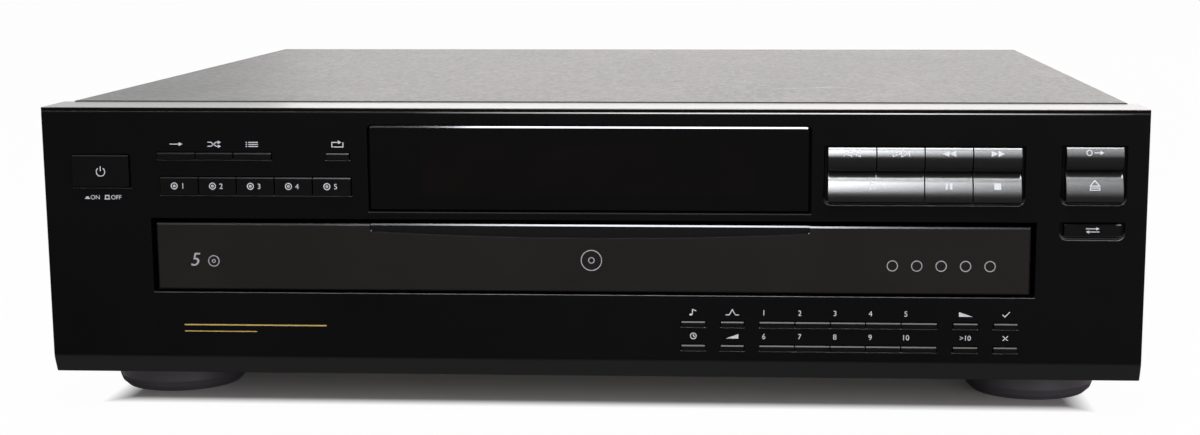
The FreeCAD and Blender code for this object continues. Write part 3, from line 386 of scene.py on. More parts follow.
def window_finish(sizes):
    """Smoked acrylic, with a display tube's grid dimly behind it and a few fine hairlines."""
    finish = Finish("window_acrylic")
    low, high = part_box("display_window")
    inset = Vector((21.0, 0.0, 7.0)) * MM
    grid = finish.framed(low + inset, high - inset) * finish.noise(20 * MM, 3.0).ramp(0.3, 0.8)
    shade = finish.mix(grid * 0.5, rgba(*sizes.window_color), rgba(0.0035, 0.0026, 0.0022))
    smear = finish.noise(34 * MM, 4.0, 0.7, finish.stretched(0.5, 1.0, 1.4))
    hair = finish.noise(1.2 * MM, 2.0, 0.5, finish.stretched(0.02, 1.0, 1.0))
    edge = finish.cut_edge()
    return finish.principled({
        "Base Color": finish.mix(edge, shade, rgba(0.14, 0.14, 0.145)),
        "Roughness": 0.07 + smear.ramp(0.4, 0.8) * 0.07 + hair.ramp(0.66, 0.7) * 0.1,
        "Metallic": edge,
        "Specular IOR Level": 0.05,
        "Normal": finish.rolled(0.3 * MM),
    })


def drawer_finish(sizes):
    """Warm dark grey plate with a polished upper edge, and painted shade in its finger recess."""
    finish = Finish("drawer_plastic")
    low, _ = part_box("drawer_front")
    broad = finish.noise(45 * MM, 3.0)
    fine = finish.noise(0.3 * MM, 2.0, 0.6)
    shade = finish.shades(sizes.drawer_color, broad.ramp(0.3, 0.7), 0.9, 1.1)
    shade = finish.dusted(shade, 7 * MM, 0.09 * MM, 0.2, rgba(0.16, 0.15, 0.15))
    # Painted shade: the finger recess is darkened in its colour, standing in for the shade that
    # falls in it.
    recess = finish.within("Y", low.y + 0.8 * MM, low.y + 1.9 * MM)
    shade = finish.mix(recess, shade, rgba(0.0025, 0.0024, 0.0025))
    edge = finish.cut_edge()
    return finish.principled({
        "Base Color": finish.mix(edge, shade, rgba(0.10, 0.10, 0.105)),
        "Roughness": 0.42 + broad.swing(0.10) + fine.swing(0.08) - edge * 0.26,
        "Metallic": edge,
        "Specular IOR Level": 0.10,
        "Normal": finish.bump(fine, 4e-6, finish.rolled(0.3 * MM)),
    })


def flat_key_finish(sizes):
    """Satin black keys whose upper edge is glossy."""
    finish = Finish("key_plastic")
    fine = finish.noise(0.2 * MM, 1.0, 0.5)
    smear = finish.noise(7 * MM, 3.0, 0.6)
    shade = finish.shades(sizes.flat_key_color, fine.ramp(0.25, 0.75), 0.8, 1.25)
    return finish.principled({
        "Base Color": finish.dusted(shade, 3.5 * MM, 0.07 * MM, 0.2, rgba(0.4, 0.4, 0.4)),
        "Roughness": 0.36 + smear.swing(0.10),
        "Specular IOR Level": 0.07,
        "Coat Weight": finish.upward().ramp(0.3, 0.6) * 0.3,
        "Coat Roughness": 0.2,
        "Normal": finish.bump(fine, 2e-6),
    })


def curved_key_finish(sizes):
    """Grey-black lacquer, glossiest on the upper slopes and dull towards the lower edge."""
    finish = Finish("curved_key_plastic")
    upward = finish.upward()
    fine = finish.noise(0.16 * MM, 1.0, 0.5)
    smear = finish.noise(6 * MM, 3.0, 0.6)
    shade = finish.shades(sizes.key_color, fine.ramp(0.25, 0.75), 0.75, 1.3)
    return finish.principled({
        "Base Color": finish.dusted(shade, 3.5 * MM, 0.07 * MM, 0.3, rgba(0.5, 0.5, 0.5)),
        "Roughness": 0.42 + smear.swing(0.10) + fine.swing(0.12),
        "Specular IOR Level": 0.12,
        "Coat Weight": upward.ramp(0.02, 0.50) * (1 - upward.ramp(0.50, 0.85) * 0.8),
        "Coat Roughness": sizes.key_roughness,
        "Coat IOR": 2.8,
        "Normal": finish.bump(fine, 2.5e-6),
    })


def ink_finish(name, color):
    """Screen-printed ink, a little worn."""
    finish = Finish(name)
    wear = finish.noise(0.5 * MM, 3.0, 0.7)
    return finish.principled({
        "Base Color": finish.shades(color, wear.ramp(0.25, 0.6), 0.62, 1.0),
        "Roughness": 0.5 + wear.swing(0.2),
        "Normal": finish.bump(wear, 2e-6),
    })


def pickup_finish():
    """Cast zinc body with a dark blue coated lens on top."""
    finish = Finish("pickup_metal")
    _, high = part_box("optical_pickup")
    fine = finish.noise(0.6 * MM, 2.0)
    lens = finish.axis("Z") > high.z - 0.5 * MM
    zinc = finish.mix(fine, rgba(0.34, 0.34, 0.35), rgba(0.46, 0.46, 0.47))
    return finish.principled({
        "Base Color": finish.mix(lens, zinc, rgba(0.02, 0.03, 0.10)),
        "Roughness": 0.40 + fine.swing(0.1) - lens * 0.32,
        "Metallic": 1 - lens,
        "Normal": finish.bump(fine, 4e-6),
    })


def jack_finish():
    """Black block, one white and one red insulator, nickel outer rings and a black gland."""
    finish = Finish("connector_plastic")
    _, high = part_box("rear_connectors")
    fine = finish.noise(0.4 * MM, 2.0)
    left = mount_point("line_out_left")
    right = mount_point("line_out_right")
    reach = finish.from_axis(left)
    other = finish.from_axis(right)
    outer = 4.3 * MM
    inner = 3.1 * MM
    jack = (reach < outer) + (other < outer)
    core = (reach < inner) + (other < inner)
    shell = (jack - core) * (finish.axis("Y") > high.y - 9 * MM)
    white_side = finish.axis("X") < (left.x + right.x) / 2
    shade = finish.mix(white_side, rgba(0.55, 0.02, 0.02), rgba(0.72, 0.70, 0.66))
    shade = finish.mix(shell, shade, rgba(0.66, 0.64, 0.60))
    return finish.principled({
        "Base Color": finish.mix(jack, rgba(0.014, 0.014, 0.015), shade),
        "Roughness": 0.42 + fine.swing(0.1) - shell * 0.2,
        "Metallic": shell,
        "Normal": finish.bump(fine, 3e-6),
    })


def board_finish():
    """Tan paper laminate with darker tracks, and black parts standing on it."""
    finish = Finish("circuit_board")
    low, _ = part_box("main_board")
    tracks = finish.cells(3.2 * MM, "DISTANCE_TO_EDGE") < 0.09
    fine = finish.noise(0.6 * MM, 2.0)
    sheet = finish.mix(tracks, rgba(0.30, 0.19, 0.08), rgba(0.36, 0.25, 0.12))
    parts = finish.mix(fine, rgba(0.012, 0.012, 0.013), rgba(0.03, 0.03, 0.032))
    above = finish.within("Z", low.z + 1.7 * MM, low.z + 20 * MM)
    return finish.principled({
        "Base Color": finish.mix(above, sheet, parts),
        "Roughness": 0.5 + fine.swing(0.15),
        "Normal": finish.bump(fine, 6e-6),
    })


def mount_point(name):
    """Where a mount of the record lies, in metres."""
    for mount in frame["record"]["mounts"]:
        if mount["name"] == name:
            return Vector(mount["pos_m"])
    raise ValueError("the record has no mount " + name)


def paint_nodes(material, *names):
    """Gives CAD nodes their material."""
    for name in names:
        node = frame["nodes"][name]
        node.data.materials.clear()
        node.data.materials.append(material)


# ---- settings ----------------------------------------------------

def number_property(name, description, default, **more):
    return bpy.props.FloatProperty(name=name, description=description, default=default, **more)


def length_property(name, description, default, least=0.0):
    return number_property(name, description, default, min=least, unit="LENGTH", precision=5)


def power_property(name, description, default):
    return number_property(name, description, default, min=0.0, unit="POWER")


def share_property(name, description, default):
    return number_property(name, description, default, min=0.0, max=1.0, subtype="FACTOR")


def angle_property(name, description, degrees):
    return number_property(name, description, math.radians(degrees), subtype="ANGLE")


def color_property(name, description, default):
    return bpy.props.FloatVectorProperty(
        name=name, description=description, default=default,
        subtype="COLOR", size=3, min=0.0, max=1.0,
    )


class ChangerFinishSettings(bpy.types.PropertyGroup):
    """Colours and gloss of the visible surfaces."""

    panel_color: color_property("Panel", "Moulded front panel", (0.0016, 0.0016, 0.0019))
    panel_roughness: share_property("Panel roughness", "Satin of the front panel", 0.40)
    window_color: color_property("Window", "Smoked display window", (0.0016, 0.0014, 0.0014))
    drawer_color: color_property("Drawer front", "Drawer's front plate", (0.0080, 0.0064, 0.0062))
    key_color: color_property("Curved keys", "Lacquer of curved keys", (0.006, 0.006, 0.0066))
    flat_key_color: color_property("Flat keys", "Plastic of flat keys", (0.0018, 0.0018, 0.0020))
    key_roughness: share_property("Key roughness", "Sheen of the curved keys", 0.26)
    cover_color: color_property("Cover", "Textured paint of the cover", (0.028, 0.027, 0.026))
    foot_color: color_property("Feet", "Plastic of the feet", (0.075, 0.066, 0.080))
    ink_color: color_property("Marks", "Screen-printed marks", (0.50, 0.51, 0.54))
    gold_color: color_property("Gold rule", "Rule low on the panel", (0.42, 0.29, 0.08))


class ChangerMarkSettings(bpy.types.PropertyGroup):
    """Sizes and places of the printed marks."""

    line: length_property("Line", "Width of a drawn line", 0.00034)
    drawer_line: length_property("Drawer line", "Width of a line on the drawer", 0.00035)
    lift: length_property("Lift", "How far the ink stands above its surface", 0.00003)
    numeral: length_property("Numeral", "Height of the numerals at the keys", 0.0021)
    numeral_inset: length_property("Numeral inset", "Key's left end to its numeral", 0.0016)
    above_key: length_property("Above key", "Middle of a key to the sign above it", 0.0046)
    below_power: length_property("Below power", "Power button to its words", 0.0104)
    rule_x: length_property("Rule place", "Middle of the gold rule, across", -0.1328, -1.0)
    rule_z: length_property("Rule height", "Panel's lower edge to the gold rule", 0.0184)
    drawer_drop: length_property("Drawer drop", "Drawer front's middle to its marks", 0.0012)
    well_numeral: length_property("Well numeral", "Height of a well's numeral", 0.005)
    well_radius: length_property("Well radius", "Table's middle to a well's numeral", 0.036)


class ChangerScrewSettings(bpy.types.PropertyGroup):
    """Sizes of the case screws."""

    head_radius: length_property("Head radius", "Radius of the screw's head", 0.0034)
    head_height: length_property("Head height", "Height of the screw's head", 0.0019)
    shank_radius: length_property("Shank radius", "Radius of the screw's shank", 0.00145)
    shank_length: length_property("Shank length", "Length of the screw's shank", 0.006)
    count: bpy.props.IntProperty(name="Count", description="Screws in the case", default=6)
    seed: bpy.props.IntProperty(name="Seed", description="Turns of the recesses", default=4)


class ChangerCameraSettings(bpy.types.PropertyGroup):
    """Where the view is taken from."""

    place: bpy.props.FloatVectorProperty(
        name="Camera place", description="Viewpoint", default=(0.0675, -0.9323, 0.1881),
        subtype="TRANSLATION", unit="LENGTH", size=3,
    )
    tilt: angle_property("Tilt", "How far the view looks down", 9.60)
    turn: angle_property("Turn", "How far the view is turned to the left", 3.02)
    roll: angle_property("Roll", "Roll of the camera about its own axis", -0.13)
    focal_length: number_property("Focal length", "Lens, in mm", 58.0, unit="CAMERA")
    sensor_width: number_property("Sensor", "Width of the sensor, in mm", 36.0, unit="CAMERA")
    shift: bpy.props.FloatVectorProperty(
        name="Shift", description="Part of the frame's width by which the lens is shifted",
        default=(-0.0511, 0.0346), size=2,
    )


class ChangerLightSettings(bpy.types.PropertyGroup):
    """Plain studio light on a pale floor."""

    front_power: power_property("Front light", "Soft box before the panel", 30.0)
    side_power: power_property("Side light", "Low soft box at the right", 8.0)
    top_power: power_property("Top light", "Overhead soft box", 24.0)
    back_power: power_property("Back light", "Soft box behind the cover", 12.8)
    fill: number_property("Fill", "Strength of the even light from all round", 0.15)
    floor_reach: length_property("Floor reach", "Floor's middle to its edges", 6.0)
    shadow_margin: length_property(
        "Shadow margin", "How far inside the object's outline the floor starts to turn white", 0.036
    )


# ---- stage -------------------------------------------------------

# Each soft box: its place, what it is aimed at, its width and height, and its colour.
SOFT_BOXES = {
    "front": ((-0.075, -1.65, 1.22), (0.0, -0.19, 0.10), (0.52, 1.7), (0.94, 0.965, 1.0)),
    "side": ((1.0, -1.5, 0.35), (0.15, -0.15, 0.02), (0.6, 0.5), (1.0, 1.0, 1.0)),
    "top": ((0.06, -0.42, 1.65), (0.0, -0.19, 0.1), (1.0, 0.5), (1.0, 1.0, 1.0)),
    "back": ((0.62, 2.1, 0.75), (0.0, 0.1, 0.1), (3.1, 1.2), (1.0, 0.935, 0.93)),
}


class CHANGER_OT_stage(bpy.types.Operator):
    """Floor, even surroundings, soft boxes and the camera"""

    bl_idname = "changer.stage"
    bl_label = "Stage"

    def execute(self, context):
        scene = context.scene
        self.floor(scene.changer_light)
        self.surroundings(scene)
        self.soft_boxes(scene.changer_light)
        self.camera(scene, scene.changer_camera)
        scene.view_settings.view_transform = "Standard"
        return {"FINISHED"}

    def floor(self, light):
        """Pale paper under the object, which the camera sees as white away from it and with a faint
        painted glow under it.
        """
        low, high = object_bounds()
        reach = light.floor_reach
        mesh = bpy.data.meshes.new("floor")
        corners = [(reach * u, reach * v, 0) for u, v in ((-1, -1), (1, -1), (1, 1), (-1, 1))]
        mesh.from_pydata(corners, [], [(0, 1, 2, 3)])
        floor = add_object("floor", mesh)
        finish = Finish("floor_paper")
        margin = light.shadow_margin
        beyond, behind = [
            abs(finish.axis(name) - (low[n] + high[n]) / 2) - ((high[n] - low[n]) / 2 - margin)
            for n, name in enumerate("XY")
        ]
        # The 0.02 is painted light: even in the shadow under the object the camera sees the floor
        # glow faintly, which lifts the shadow.
        lifted = 0.02 + beyond.most(behind).ramp(margin * 0.3, margin * 0.6) * 0.96
        tone = finish.noise(0.4, 2.0)
        color = finish.mix(tone, rgba(0.43, 0.405, 0.39), rgba(0.45, 0.425, 0.41))
        paper = finish.node("ShaderNodeBsdfDiffuse", {}, {"Color": color})
        white = finish.node("ShaderNodeEmission", {}, {"Color": rgba(1, 1, 1), "Strength": 1.0})
        seen = finish.node("ShaderNodeLightPath", output="Is Camera Ray")
        both = finish.mix_shaders(seen * lifted, paper, white)
        floor.data.materials.append(finish.surface(both))
        floor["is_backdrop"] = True

    def surroundings(self, scene):
        """White to the camera, pale in what mirrors and glass show, and else an even fill."""
        world = bpy.data.worlds.new("studio")
        world.use_nodes = True
        scene.world = world
        graph = Graph(world.node_tree)
        seen, glossy, through = [
            graph.node("ShaderNodeLightPath", output="Is %s Ray" % kind)
            for kind in ("Camera", "Glossy", "Transmission")
        ]
        white = {"Color": rgba(1, 1, 1), "Strength": 1.0}
        even = {"Color": rgba(0.96, 0.97, 1.0), "Strength": scene.changer_light.fill}
        direction = graph.node("ShaderNodeTexCoord", output="Generated")
        pale = graph.part(direction, "Y").ramp(-0.35, 0.10) * 0.8 + 0.2
        both = graph.mix_shaders(
            seen.most(glossy.most(through) * pale),
            graph.node("ShaderNodeBackground", {}, even),
            graph.node("ShaderNodeBackground", {}, white),
        )
        graph.node("ShaderNodeOutputWorld", {}, {"Surface": both})

    def soft_boxes(self, powers):
        for name, (place, aim, size, color) in SOFT_BOXES.items():
            light = bpy.data.lights.new(name + "_box", "AREA")
            light.shape = "RECTANGLE"
            light.size, light.size_y = size
            light.energy = getattr(powers, name + "_power")
            light.color = color
            lamp = add_object(name + "_box", light)
            toward = Vector(aim) - Vector(place)
            lamp.location = place
            lamp.rotation_euler = toward.to_track_quat("-Z", "Y").to_euler()
            lamp.visible_camera = False

    def camera(self, scene, view):
        data = bpy.data.cameras.new("camera")
        data.sensor_width = view.sensor_width
        data.lens = view.focal_length
        data.shift_x, data.shift_y = view.shift
        data.clip_start = 0.05
        data.clip_end = 50.0
        turned = (
            Matrix.Rotation(view.turn, 4, "Z")
            @ Matrix.Rotation(math.pi / 2 - view.tilt, 4, "X")
            @ Matrix.Rotation(view.roll, 4, "Z")
        )
        scene.camera = add_object("camera", data)
        scene.camera.matrix_world = Matrix.Translation(view.place) @ turned


# ---- finishes on the frame's nodes -------------------------------

class CHANGER_OT_front_finish(bpy.types.Operator):
    """Finishes of the panel, window, drawer front and keys"""

    bl_idname = "changer.front_finish"
    bl_label = "Front finishes"

    def execute(self, context):
        sizes = context.scene.changer_finish
        keys = [name for name in frame["nodes"] if name.endswith("_key")]
        flat = [name for name in keys + ["power_button"] if name not in CURVED_KEYS]
        paint_nodes(panel_finish(sizes), "front_panel")
        paint_nodes(window_finish(sizes), "display_window")
        paint_nodes(flat_key_finish(sizes), *flat)
        paint_nodes(curved_key_finish(sizes), *CURVED_KEYS)
        paint_nodes(drawer_finish(sizes), "drawer_front")
        return {"FINISHED"}


class CHANGER_OT_case_finish(bpy.types.Operator):
    """Finishes of the cover, pan, feet, screws and rear connectors"""

    bl_idname = "changer.case_finish"
    bl_label = "Case finishes"

    def execute(self, context):
        sizes = context.scene.changer_finish
        zinc = metal("plated_steel", rgba(0.62, 0.62, 0.60), 0.36, brushed=0.3, spangle=0.5)
        steel = metal("screw_steel", rgba(0.10, 0.10, 0.105), 0.34, brushed=0.2)
        foot = moulded_plastic(
            "foot_plastic", sizes.foot_color, 0.38,
            grain=0.3 * MM, depth=5e-6, mottle=0.15, specks=0.2,
        )
        paint_nodes(cover_finish(sizes), "top_cover")
        paint_nodes(zinc, "chassis_pan")
        paint_nodes(steel, "case_screws")
        paint_nodes(foot, "feet")
        paint_nodes(jack_finish(), "rear_connectors")
        return {"FINISHED"}


class CHANGER_OT_inner_finish(bpy.types.Operator):
    """Finishes of the mechanism and electronics inside"""

    bl_idname = "changer.inner_finish"
    bl_label = "Inner finishes"

    def execute(self, context):
        deck = moulded_plastic("deck_plastic", rgba(0.020, 0.020, 0.021), 0.48)
        base = moulded_plastic("base_plastic", rgba(0.024, 0.024, 0.026), 0.46)
        tray = moulded_plastic(
            "tray_plastic", rgba(0.016, 0.016, 0.017), 0.40, grain=0.3 * MM, level=0.4
        )
        gear = moulded_plastic(
            "gear_plastic", rgba(0.62, 0.60, 0.54), 0.36, grain=0.3 * MM, depth=2e-6, mottle=0.05
        )
        core = metal("transformer_steel", rgba(0.30, 0.29, 0.28), 0.45, brushed=0.5)
        motor = metal("motor_steel", rgba(0.55, 0.55, 0.54), 0.32, brushed=0.5)
        paint_nodes(deck, "mechanism_deck", "clamp_bridge")
        paint_nodes(tray, "drawer_tray", "disc_table")
        paint_nodes(gear, "table_gear", "loading_gear", "disc_hub", "disc_clamper")
        paint_nodes(pickup_finish(), "optical_pickup")
        paint_nodes(base, "optical_base")
        paint_nodes(core, "power_transformer")
        paint_nodes(motor, "loading_motor")
        paint_nodes(board_finish(), "main_board", "switch_board")
        return {"FINISHED"}


# ---- screws ------------------------------------------------------

def lathe(profile, angles, carve):
    """Turns a profile of radius and height about Z; carve may lower its points."""
    mesh = bmesh.new()
    rings = []
    for radius, height in profile:
        rings.append([
            mesh.verts.new((radius * math.cos(a), radius * math.sin(a), carve(radius, height, a)))
            for a in (angles if radius else angles[:1])
        ])
    for first, second in zip(rings, rings[1:]):
        for n in range(len(angles)):
            after = (n + 1) % len(angles)
            around = [first[n % len(first)], first[after % len(first)],
                      second[after % len(second)], second[n % len(second)]]
            corners = list(dict.fromkeys(around))
            if len(corners) > 2:
                mesh.faces.new(corners)
    bmesh.ops.recalc_face_normals(mesh, faces=mesh.faces[:])
    return mesh


def screw_mesh(sizes):
    """A pan-head screw along -Z with a cross recess, its head's top at the origin."""
    head = sizes.head_radius
    height = sizes.head_height
    shank = sizes.shank_radius
    end = -height - sizes.shank_length
    quarter = math.pi / 2
    half_arm = math.radians(15)
    wall = math.radians(1.5)
    step = math.radians(18)
    turns = [-half_arm - wall, -half_arm, half_arm]
    turns += [half_arm + wall + step * n for n in range(3)]
    angles = [quarter * n + turn for n in range(4) for turn in turns]

    def carve(radius, level, angle):
        from_arm = abs((angle + quarter / 2) % quarter - quarter / 2)
        arm = radius < head * 0.565 and from_arm < half_arm + wall / 2
        recess = level > -height / 2 and (arm or radius < head * 0.16)
        return level - height * 0.55 if recess else level

    # Parts of the head's radius and height, from the middle of its top to its lower edge.
    crown = [
        (0.0, 0.04), (0.15, 0.04), (0.17, 0.04), (0.55, 0.08), (0.58, 0.09),
        (0.80, 0.24), (0.95, 0.55), (1.0, 0.82), (1.0, 1.0),
    ]
    profile = [(head * out, -height * down) for out, down in crown]
    profile += [(shank, -height), (shank, end + shank), (shank * 0.6, end), (0, end)]
    turned = lathe(profile, angles, carve)
    mesh = bpy.data.meshes.new("screw")
    turned.to_mesh(mesh)
    turned.free()
    return mesh


def islands(mesh):
    """The corners of each separate solid of a mesh, whose faces have corners of their own."""
    work = bmesh.new()
    work.from_mesh(mesh)
    bmesh.ops.remove_doubles(work, verts=work.verts, dist=1e-6)
    left = set(work.verts)
    groups = []
    for start in work.verts:
        if start not in left:
            continue
        left.remove(start)
        front = [start]
        group = []
        while front:
            vertex = front.pop()
            group.append(vertex.co.copy())
            for edge in vertex.link_edges:
                other = edge.other_vert(vertex)
                if other in left:
                    left.remove(other)
                    front.append(other)
        groups.append(group)
    work.free()
    return groups


def screw_places(node):
    """The outer end of each screw of a node, and the way that it points."""
    middle = middle_of("top_cover")
    places = []
    for group in islands(frame["nodes"][node].data):
        least = Vector([min(co[n] for co in group) for n in range(3)])
        most = Vector([max(co[n] for co in group) for n in range(3)])
        end = (least + most) / 2
        axis = max(range(3), key=lambda n: most[n] - least[n])
        outward = end[axis] > middle[axis]
        out = Vector((0, 0, 0))
        out[axis] = 1.0 if outward else -1.0
        end[axis] = most[axis] if outward else least[axis]
        places.append((end, out))
    return places


def screw_tree(screw, material):
    """Sets a screw on every point, along the point's direction and turned by chance."""
    tree = bpy.data.node_groups.new("set_screws", "GeometryNodeTree")
    inputs = {"Geometry": "Geometry", "Size": "Float", "Turn": "Float", "Seed": "Int"}
    for name, kind in inputs.items():
        tree.interface.new_socket(name, in_out="INPUT", socket_type="NodeSocket" + kind)
    tree.interface.new_socket("Geometry", in_out="OUTPUT", socket_type="NodeSocketGeometry")
    graph = Graph(tree)
    points, size, turn, chance = [
        graph.node("NodeGroupInput", output=name) for name in inputs
    ]
    direction = graph.node(
        "GeometryNodeInputNamedAttribute", {"data_type": "FLOAT_VECTOR"}, {"Name": "direction"}
    )
    aligned = graph.node(
        "FunctionNodeAlignRotationToVector", {"axis": "Z"}, {"Vector": direction}
    )
    # The number's limits and result are sockets 2, 3 and 1 of a node for several kinds.
    angle = graph.node(
        "FunctionNodeRandomValue", {"data_type": "FLOAT"}, {2: 0.0, 3: turn, "Seed": chance}, 1
    )
    about = graph.node("ShaderNodeCombineXYZ", {}, {"Z": angle})
    spun = graph.node(
        "FunctionNodeRotateRotation", {"rotation_space": "LOCAL"},
        {"Rotation": aligned, "Rotate By": about},
    )
    model = graph.node("GeometryNodeObjectInfo", {}, {"Object": screw}, "Geometry")
    placed = graph.node(
        "GeometryNodeInstanceOnPoints", {},
        {"Points": points, "Instance": model, "Rotation": spun, "Scale": size},
    )
    real = graph.node("GeometryNodeRealizeInstances", {}, {"Geometry": placed})
    painted = graph.node(
        "GeometryNodeSetMaterial", {}, {"Geometry": real, "Material": material}
    )
    graph.node("NodeGroupOutput", {}, {"Geometry": painted})
    return tree


class CHANGER_OT_screws(bpy.types.Operator):
    """Pan-head screws with cross recesses, in place of the plain ones"""

    bl_idname = "changer.screws"
    bl_label = "Case screws"

    def execute(self, context):
        sizes = context.scene.changer_screws
        steel = metal("black_steel", rgba(0.13, 0.13, 0.135), 0.30, brushed=0.2)
        screw = bpy.data.objects.new("screw_model", screw_mesh(sizes))
        places = screw_places("case_screws")
        if len(places) != sizes.count:
            raise ValueError("the case has %d screws" % len(places))
        points = bpy.data.meshes.new("screw_points")
        points.from_pydata([place for place, out in places], [], [])
        direction = points.attributes.new("direction", "FLOAT_VECTOR", "POINT")
        for n, (place, out) in enumerate(places):
            direction.data[n].vector = out
        piece = add_object("set_screws", points)
        modifier = piece.modifiers.new("set_screws", "NODES")
        modifier.node_group = screw_tree(screw, steel)
        given = {"Size": 1.0, "Turn": math.tau, "Seed": sizes.seed}
        for socket in modifier.node_group.interface.items_tree:
            if socket.in_out == "INPUT" and socket.name in given:
                modifier[socket.identifier] = given[socket.name]
        seen = piece.evaluated_get(context.evaluated_depsgraph_get())
        mesh = bpy.data.meshes.new_from_object(seen)
        piece.modifiers.remove(modifier)
        faces_of_one = 100
        if len(mesh.polygons) < faces_of_one * len(places):
            raise ValueError("the screws weren't set")
        piece.data = mesh
        bpy.data.objects.remove(screw)
        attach(piece, "case")
        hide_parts("case_screws")
        return {"FINISHED"}


# ---- marks -------------------------------------------------------

def triangle_corners(u, v, width, height):
    """Points right, or left where width is negative."""
    back = u - width / 2
    return (back, v - height / 2), (u + width / 2, v), (back, v + height / 2)


class Stencil:
    """Flat shapes in millimetres, laid on a node's surface as thin ink."""

    def __init__(self, line):
        self.mesh = bmesh.new()
        self.line = line

    def fill(self, *points):
        self.mesh.faces.new([self.mesh.verts.new((u, v, 0)) for u, v in points])

    def bar(self, u, v, width, height):
        w = width / 2
        h = height / 2
        self.fill((u - w, v - h), (u + w, v - h), (u + w, v + h), (u - w, v + h))

    def stroke(self, *points, closed=False):
        """A line of even width along the points, with mitred corners."""
        path = [Vector(point) for point in points]
        legs = [(after - point).normalized() for point, after in zip(path, path[1:] + path[:1])]
        if not closed:
            legs[-1] = legs[-2]
        sides = []
        for n, point in enumerate(path):
            along = ((legs[n - 1] if n or closed else legs[0]) + legs[n]).normalized()
            reach = self.line / 2 / max(0.35, along.dot(legs[n]))
            across = Vector((-along.y, along.x)) * reach
            sides.append((point + across, point - across))
        pairs = list(zip(sides, sides[1:] + sides[:1]))
        for first, second in (pairs if closed else pairs[:-1]):
            self.fill(first[1], second[1], second[0], first[0])

    def arc(self, u, v, radius, start=0, end=360):
        """Part of a ring; angles in degrees, anticlockwise from the right."""
        whole = end - start >= 360
        steps = max(6, int((end - start) / 15))
        turns = [start + (end - start) * n / steps for n in range(steps + (not whole))]
        angles = [math.radians(turn) for turn in turns]
        points = [(u + radius * math.cos(a), v + radius * math.sin(a)) for a in angles]
        self.stroke(*points, closed=whole)

    def disc(self, u, v, radius, hole):
        self.arc(u, v, radius)
        self.arc(u, v, hole)

    def outline(self, *points):
        self.stroke(*points, closed=True)

    def triangle(self, *sizes):
        self.fill(*triangle_corners(*sizes))

    def hollow_triangle(self, *sizes):
        self.outline(*triangle_corners(*sizes))

    def arrow(self, start, end, head):
        """A line with a filled head at its end."""
        start = Vector(start)
        end = Vector(end)
        along = (end - start).normalized()
        across = Vector((-along.y, along.x)) * head * 0.5
        neck = end - along * head
        self.stroke(start, neck)
        self.fill(neck - across, end, neck + across)

    def text(self, words, u, v, height, slant=0.0):
        curve = bpy.data.curves.new("words", "FONT")
        curve.body = words
        curve.align_x = "CENTER"
        curve.shear = slant
        letters = bpy.data.objects.new("words", curve)
        mesh = bpy.data.meshes.new_from_object(letters)
        low = min(vertex.co.y for vertex in mesh.vertices)
        high = max(vertex.co.y for vertex in mesh.vertices)
        mesh.transform(
            Matrix.Translation((u, v, 0)) @ Matrix.Scale(height / (high - low), 4)
            @ Matrix.Translation((0, -(low + high) / 2, 0))
        )
        self.mesh.from_mesh(mesh)
        bpy.data.objects.remove(letters)
        bpy.data.curves.remove(curve)
        bpy.data.meshes.remove(mesh)

    def lay(self, name, node, body, matrix, lift, material):
        """Presses the shapes along the plane's normal onto the node and thickens them."""
        mesh = self.mesh
        bmesh.ops.transform(mesh, matrix=matrix @ Matrix.Scale(MM, 4), verts=mesh.verts)
        bmesh.ops.remove_doubles(mesh, verts=mesh.verts, dist=1e-6)
        out = (matrix.to_3x3() @ Vector((0, 0, 1))).normalized()
        self.cut_rows(step=0.4 * MM)
        tree = surface_of(node)
        above = 20 * MM
        for vertex in mesh.verts:
            hit = tree.ray_cast(vertex.co + out * above, -out)[0]
            if hit is None:
                raise ValueError(name + " isn't over " + node)
            vertex.co = hit - out * lift
        region = bmesh.ops.extrude_face_region(mesh, geom=mesh.faces[:], use_keep_orig=True)
        raised = [item for item in region["geom"] if isinstance(item, bmesh.types.BMVert)]
        bmesh.ops.translate(mesh, verts=raised, vec=out * lift * 2)
        bmesh.ops.recalc_face_normals(mesh, faces=mesh.faces[:])
        data = bpy.data.meshes.new(name)
        mesh.to_mesh(data)
        mesh.free()
        data.materials.append(material)
        piece = add_object(name, data)
        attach(piece, body)

    def cut_rows(self, step):
        """Cuts the faces level by level, so that they can follow a curved key."""
        heights = [vertex.co.z for vertex in self.mesh.verts]
        first = min(heights)
        for n in range(1, int((max(heights) - first) / step) + 1):
            everything = self.mesh.verts[:] + self.mesh.edges[:] + self.mesh.faces[:]
            bmesh.ops.bisect_plane(
                self.mesh, geom=everything, plane_co=(0, 0, first + n * step), plane_no=(0, 0, 1)
            )


@functools.cache
def surface_of(node):
    """A node's mesh, made ready for rays."""
    mesh = frame["nodes"][node].data
    corners = [vertex.co for vertex in mesh.vertices]
    return BVHTree.FromPolygons(corners, [face.vertices for face in mesh.polygons])


def middle_of(node):
    low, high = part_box(node)
    return (low + high) / 2


def facing_front(x, z):
    """Takes a stencil's plane to the panel's front, with its origin at a place."""
    low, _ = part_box("front_panel")
    return Matrix.Translation((x, low.y, z)) @ Matrix.Rotation(math.pi / 2, 4, "X")


def on_key(name, across=0.0, up=0.0):
    """Takes a stencil's plane to a place measured from the middle of a key's face."""
    middle = middle_of(name)
    return facing_front(middle.x + across, middle.z + up)


def on_table(angle, radius):
    """Takes a stencil's plane to the top of the table, with its upper side outwards."""
    _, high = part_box("disc_table")
    middle = middle_of("disc_table")
    return (
        Matrix.Translation((middle.x, middle.y, high.z)) @ Matrix.Rotation(angle, 4, "Z")
        @ Matrix.Translation((radius, 0, 0)) @ Matrix.Rotation(math.pi / 2, 4, "Z")
    )


def print_sign(name, node, body, place, ink, steps, line=None):
    """Draws a sign, each step a method of Stencil and its values, and lays it on a node."""
    sizes = bpy.context.scene.changer_marks
    stencil = Stencil((line or sizes.line) / MM)
    for step, *values in steps:
        getattr(stencil, step)(*values)
    stencil.lay(name, node, body, place, sizes.lift, ink)


